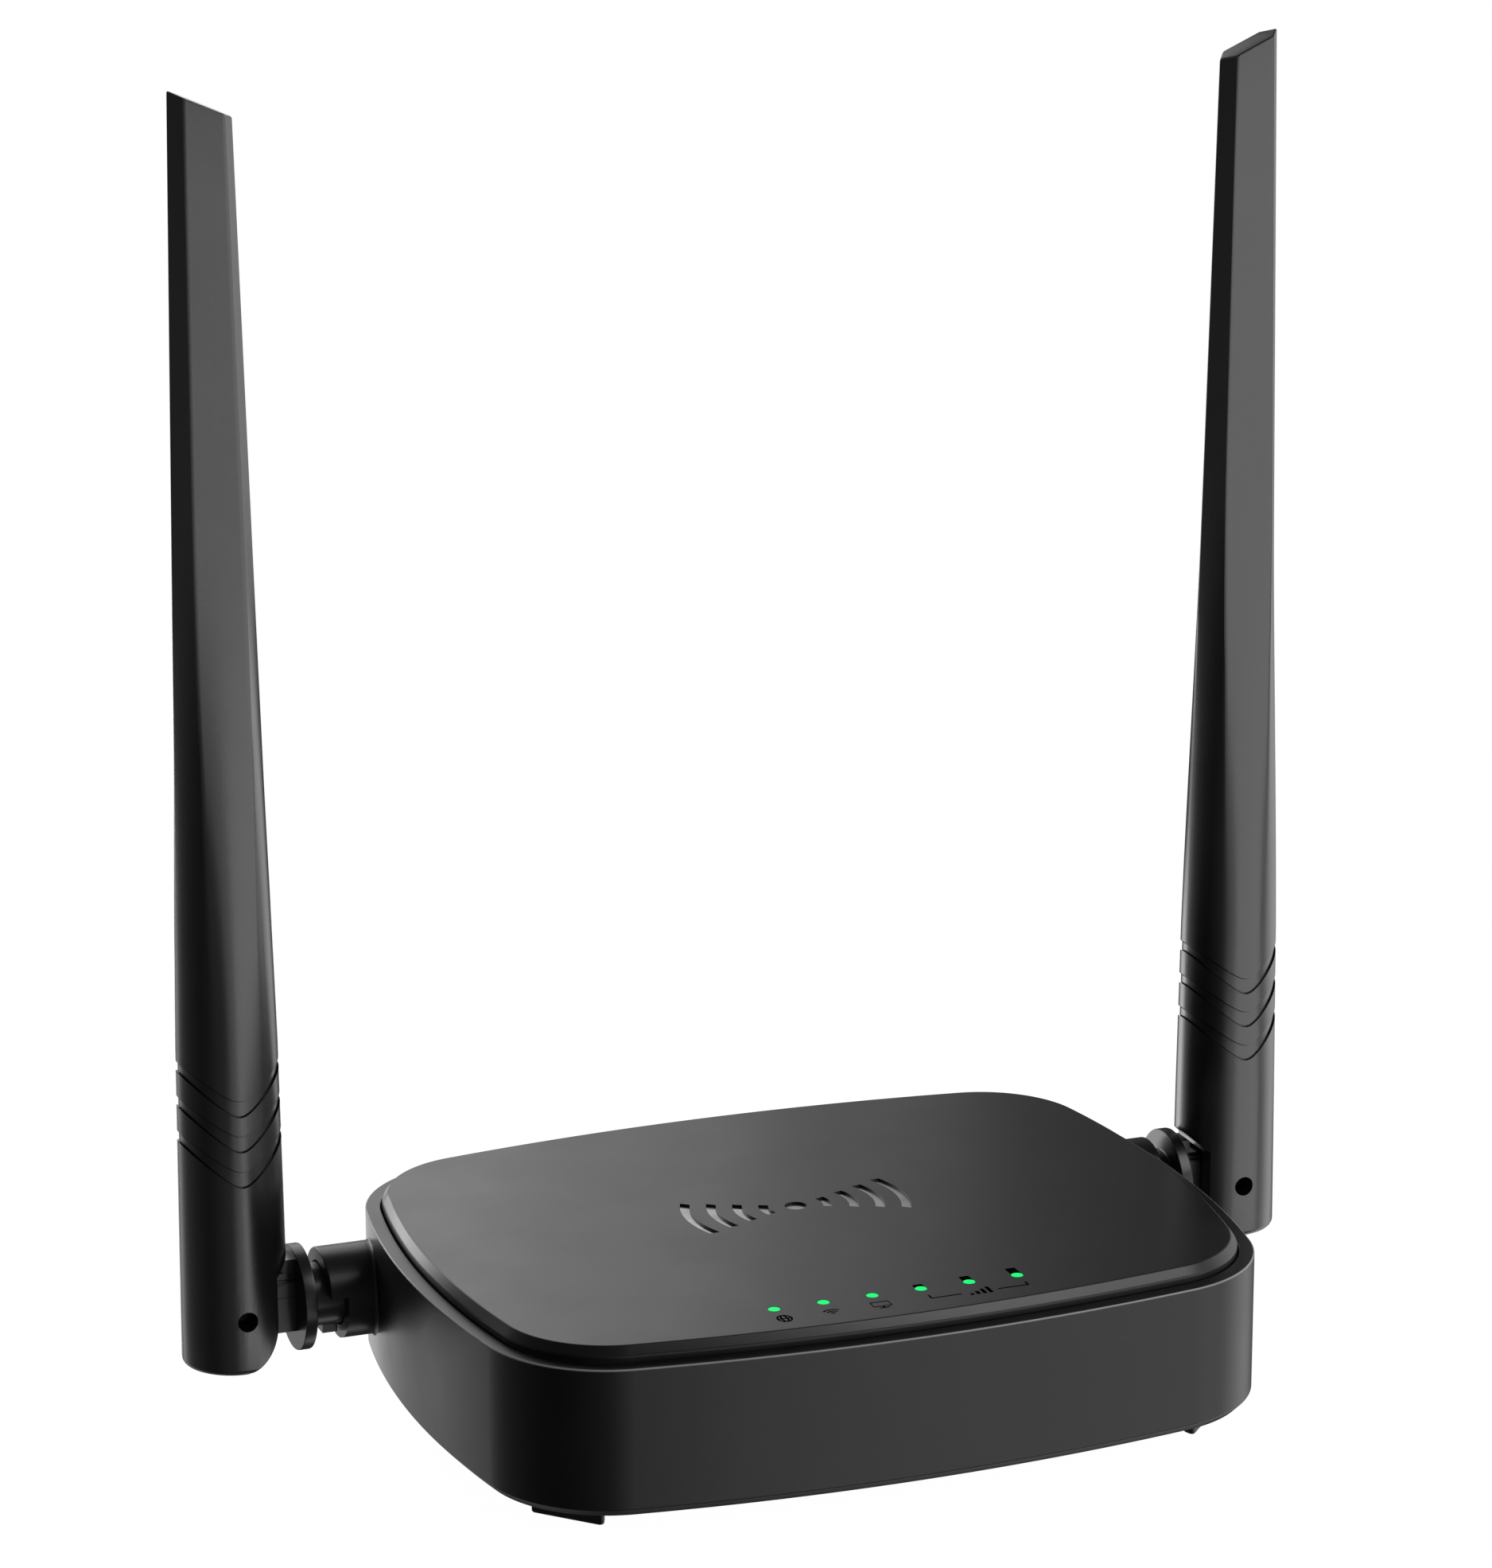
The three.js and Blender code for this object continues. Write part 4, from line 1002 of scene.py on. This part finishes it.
def antenna_ring(height_at, shrink=0.0):
    """A ring of the section whose height varies across it: height_at(x) from the middle."""
    ring = []
    for k in range(6):
        for part in EDGE_STEPS:
            z = height_at(0)
            for _ in range(3):
                x, y = antenna_point(k, part, z, shrink)
                z = height_at(x)
            ring.append((-PIN_X + x, AXIS_Y + y, z))
    return ring


def chevron(tip, rise):
    """A V-shaped edge: lowest at the middle of front and back, rising to the sides, blunt at its point."""
    blunt = 1.6
    span = math.hypot(antenna_half(tip), blunt) - blunt
    return lambda x: tip + rise * (math.hypot(x, blunt) - blunt) / span


def groove_rings(tip):
    """A groove below tip, even but for a deeper line along its lower edge."""
    lower = tip - GROOVE_HEIGHT
    edges = [(lower, 6, 0), (lower + 0.03, 6, 0.5), (lower + 0.17, 6, 0.5), (lower + 0.26, 6, GROOVE_DEPTH)]
    edges += [(tip - 0.16, 5, GROOVE_DEPTH), (tip - 0.1, 5, GROOVE_DEPTH + 0.06), (tip - 0.03, 5, 0.1)]
    return [antenna_ring(chevron(z, rise), shrink) for z, rise, shrink in edges + [(tip, 5, 0)]]


def antenna_skin():
    rings = []
    for inset, z in reversed(fillet(0, ANTENNA_BOTTOM + 1, 1, ANTENNA_BOTTOM, 5)):
        rings.append(antenna_ring(lambda x: z, inset))
    for level in (14, 20, 26, 31):
        rings.append(antenna_ring(lambda x: level))
    for tip in GROOVE_TIPS:
        rings += groove_rings(tip)
    level = 57.5
    while level < 190:
        rings.append(antenna_ring(lambda x: level))
        level += 5 if level < 140 else 12
    for inset, z in fillet(0, TIP_Z - 0.35, 0.35, TIP_Z):
        rings.append(antenna_ring(lambda x: z - TIP_SLOPE * x, inset))
    return loft("left_antenna_blade", rings, ANTENNA)


def antenna_left():
    """The antenna cover, with its inner cheek cut back and a slot for the knuckle's tongue."""
    cover = antenna_skin()
    c, far, deep = CHEEK, -PIN_X + 12, 12
    high, corner_x = c["top"] + 2 * c["rise"], -PIN_X + c["corner_x"]
    cheek = [(far, 0), (far, high), (-PIN_X + c["edge"] + 2 * c["flare"], high)]
    cheek += [(-PIN_X + c["edge"], c["top"])]
    cheek += arc(corner_x, ANTENNA_BOTTOM + c["corner"], c["corner"], 0, -math.pi / 2, 24)
    cheek += [(corner_x, ANTENNA_BOTTOM), (corner_x, 0)]
    carve(cover, prism("cheek", cheek, AXIS_Y - deep, AXIS_Y + deep, "y"))
    s = TONGUE_SLOT
    slot = [(-PIN_X - s["radius"], 0), (far, 0), (far, AXIS_Z + s["radius"])]
    slot += arc(-PIN_X, AXIS_Z, s["radius"], math.pi / 2, math.pi, 24) + [(-PIN_X - s["radius"], AXIS_Z)]
    carve(cover, prism("slot", slot, AXIS_Y - s["half"], AXIS_Y + s["half"], "y"))
    hole = [(PIN_HOLE, AXIS_Y - deep), (PIN_HOLE, AXIS_Y + deep)]
    carve(cover, lathe("pin_hole", hole, (-PIN_X, AXIS_Z), "y", 64))
    return cover


def hinge_pin_left():
    half, radius, edge = HINGE_PIN["half"], HINGE_PIN["radius"], HINGE_PIN["edge"]
    profile = [(radius - edge, AXIS_Y - half), (radius, AXIS_Y - half + edge)]
    profile += [(radius, AXIS_Y + half - edge), (radius - edge, AXIS_Y + half)]
    return lathe("left_pin", profile, (-PIN_X, AXIS_Z), "y", 48, DARK_STEEL)


def pair(maker, body, slot, node):
    """A left-hand piece and its mirror image, each on its own body."""
    left = maker()
    right = mirrored(left, left.name.replace("left", "right"))
    for side, piece in (("left", left), ("right", right)):
        place(piece, f"{side}_{body}", slot, f"{side}_{node}")


# ---- CAD nodes that stay ----
SLOT_LOOKS = {
    "shell_plastic": SHELL, "lid_plastic": LID, "antenna_plastic": ANTENNA, "button_plastic": BUTTON_PLASTIC,
    "light_lens": LENS_GUIDE, "foot_rubber": FOOT, "screw_steel": STEEL, "tin_plate": TIN,
    "contact_brass": GOLD, "circuit_laminate": LAMINATE, "chip_black": CHIP, "port_plastic": PORT,
    "lead_sleeve": JACKET,
}


def dress_cad_nodes():
    for part in frame["record"]["subparts"]:
        mesh = frame["nodes"][part["node"]].data
        mesh.materials.clear()
        mesh.materials.append(SLOT_LOOKS[part["material_slot"]])


# ---- stage and light ----
FLOOR_SIZE, FLOOR_Z = 6000.0, -0.05


def floor_paper():
    """White paper that glows enough to look evenly lit, and is clear when seen from below."""
    n = Surface("floor_paper")
    n.give("Roughness", n.remap(n.noise(40), 0.85, 0.95))
    n.give("Base Color", (0.06, 0.06, 0.06))
    n.give("Specular IOR Level", 0.0)
    n.give("Emission Color", (1.0, 1.0, 1.0))
    n.give("Emission Strength", 0.99)
    one_sided = n.node("ShaderNodeMixShader")
    n.feed(n.node("ShaderNodeNewGeometry").outputs["Backfacing"], one_sided.inputs["Fac"])
    n.feed(n.shader.outputs["BSDF"], one_sided.inputs[1])
    n.feed(n.node("ShaderNodeBsdfTransparent").outputs["BSDF"], one_sided.inputs[2])
    n.feed(one_sided.outputs["Shader"], n.tree.nodes["Material Output"].inputs["Surface"])
    return n.material


def floor():
    corners = box_outline(-FLOOR_SIZE, FLOOR_SIZE, -FLOOR_SIZE, FLOOR_SIZE)
    plane = build("floor", [(x, y, FLOOR_Z) for x, y in corners], [(0, 1, 2, 3)], floor_paper())
    plane.visible_shadow = False
    plane.visible_glossy = False
    plane.visible_diffuse = False


# Brightness of the surround by heading, in degrees from +Y towards +X.
HORIZON = [
    (0, 0.1), (15, 0.05), (30, 0.05), (42, 0.08), (50, 0.2), (62, 1.0), (75, 1.4), (95, 1.2), (112, 0.5),
    (125, 0.1), (160, 0.05), (190, 0.1), (205, 0.12), (220, 0.07), (245, 0.04), (272, 0.08), (300, 0.15),
    (316, 0.25), (328, 0.55), (338, 1.15), (347, 0.08), (355, 0.1),
]
OVERHEAD = (0.1, 0.1, 0.1)
# The upward part of a direction where the horizon starts to give way to overhead, and has done so.
HORIZON_TOP, OVERHEAD_START = 0.38, 0.8

# Strips of the wall of light behind the object: (left edge, right edge, brightness) at BACK_WALL.
BACK_WALL = 260.0
BACK_STRIPS = [(-200, 40, 1.5), (40, 90, 1.0), (90, 140, 0.5), (140, 190, 0.12)]
STRIP_MIDDLE, STRIP_HEIGHT = 210, 300
OBJECT_MIDDLE = (0, 0, 20)


def panel(name, centre, aim, width, height, brightness, blockers=None):
    """A soft rectangular light that faces aim, with a given brightness whatever its size.

    If blockers is given, only its objects cast shadows in this light.
    """
    data = bpy.data.lights.new(name, "AREA")
    data.shape = "RECTANGLE"
    data.size, data.size_y = width * MM, height * MM
    data.energy = brightness * math.pi * data.size * data.size_y
    light = bpy.data.objects.new(name, data)
    bpy.context.scene.collection.objects.link(light)
    facing = (Vector(aim) - Vector(centre)).to_track_quat("-Z", "Y")
    light.matrix_world = Matrix.Translation(Vector(centre) * MM) @ facing.to_matrix().to_4x4()
    light.visible_camera = False
    if blockers:
        light.light_linking.blocker_collection = blockers


def wall_panel(name, x, z, width, height, brightness):
    """A panel on the wall behind the object, facing straight forwards."""
    panel(name, (x, BACK_WALL, z), (x, 0, z), width, height, brightness)


def panels():
    flags = bpy.data.collections.new("front_light_flags")
    for obj in bpy.data.objects:
        if "blade" in obj.name or "joint" in obj.name:
            flags.objects.link(obj)
    for i, (left, right, brightness) in enumerate(BACK_STRIPS):
        middle = (left + right) / 2
        wall_panel(f"back_strip_{i + 1}", middle, STRIP_MIDDLE, right - left, STRIP_HEIGHT, brightness)
    wall_panel("back_low", -200, -110, 200, 240, 0.05)
    wall_panel("back_left_low", -175, 62, 170, 60, 5.5)
    wall_panel("rear_fill", -20, -60, 160, 120, 1.6)
    panel("right_rear", (330, BACK_WALL, 60), (200, 0, 60), 200, 300, 0.4)
    panel("front_softbox", (300, -330, 450), OBJECT_MIDDLE, 350, 350, 3.2)
    panel("front_fill", (373, -532, -60), OBJECT_MIDDLE, 700, 700, 1.15, flags)
    panel("front_left_fill", (-23, -650, -100), OBJECT_MIDDLE, 240, 600, 0.45, flags)


def horizon_ramp(sky):
    ramp = sky.node("ShaderNodeValToRGB")
    ramp.color_ramp.interpolation = "LINEAR"
    stops = ramp.color_ramp.elements
    stops.remove(stops[1])
    for i, (degrees, value) in enumerate(HORIZON + [(360, HORIZON[0][1])]):
        stop = stops[0] if i == 0 else stops.new(degrees / 360)
        stop.position = degrees / 360
        stop.color = (value, value, value, 1)
    return ramp


def studio():
    """A soft surround, bright or dark by heading and dim overhead. Seen directly it is white."""
    world = bpy.data.worlds.new("studio")
    bpy.context.scene.world = world
    world.use_nodes = True
    sky = Graph(world.node_tree)
    direction = sky.split(sky.node("ShaderNodeTexCoord").outputs["Generated"])
    heading = sky.compute("ARCTAN2", direction["X"], direction["Y"])
    share = sky.compute("FRACT", sky.compute("DIVIDE", heading, 2 * math.pi))
    ramp = horizon_ramp(sky)
    sky.feed(share, ramp.inputs["Fac"])
    rise = sky.remap(
        direction["Z"], 0, 1, HORIZON_TOP, OVERHEAD_START, interpolation_type="SMOOTHSTEP",
    )
    surround = sky.mix(rise, ramp.outputs["Color"], OVERHEAD)
    seen = sky.node("ShaderNodeLightPath").outputs["Is Camera Ray"]
    sky.feed(sky.mix(seen, surround, (1.0, 1.0, 1.0)), sky.tree.nodes["Background"].inputs["Color"])


# ---- the whole model ----
add_camera()
base_shell()
top_cover()
emblem_inlay()
paint_slot_shade()
light_windows()
legend()
feet()
case_screws()
network_jack("wan", WAN_X)
network_jack("lan", LAN_X)
power_inlet()
push_button()
pair(knuckle_left, "knuckle", "antenna_plastic", "knuckle")
pair(antenna_left, "antenna", "antenna_plastic", "antenna_cover")
pair(hinge_pin_left, "antenna", "screw_steel", "hinge_pin")
dress_cad_nodes()
floor()
studio()
panels()
bpy.context.scene.view_settings.view_transform = "Standard"
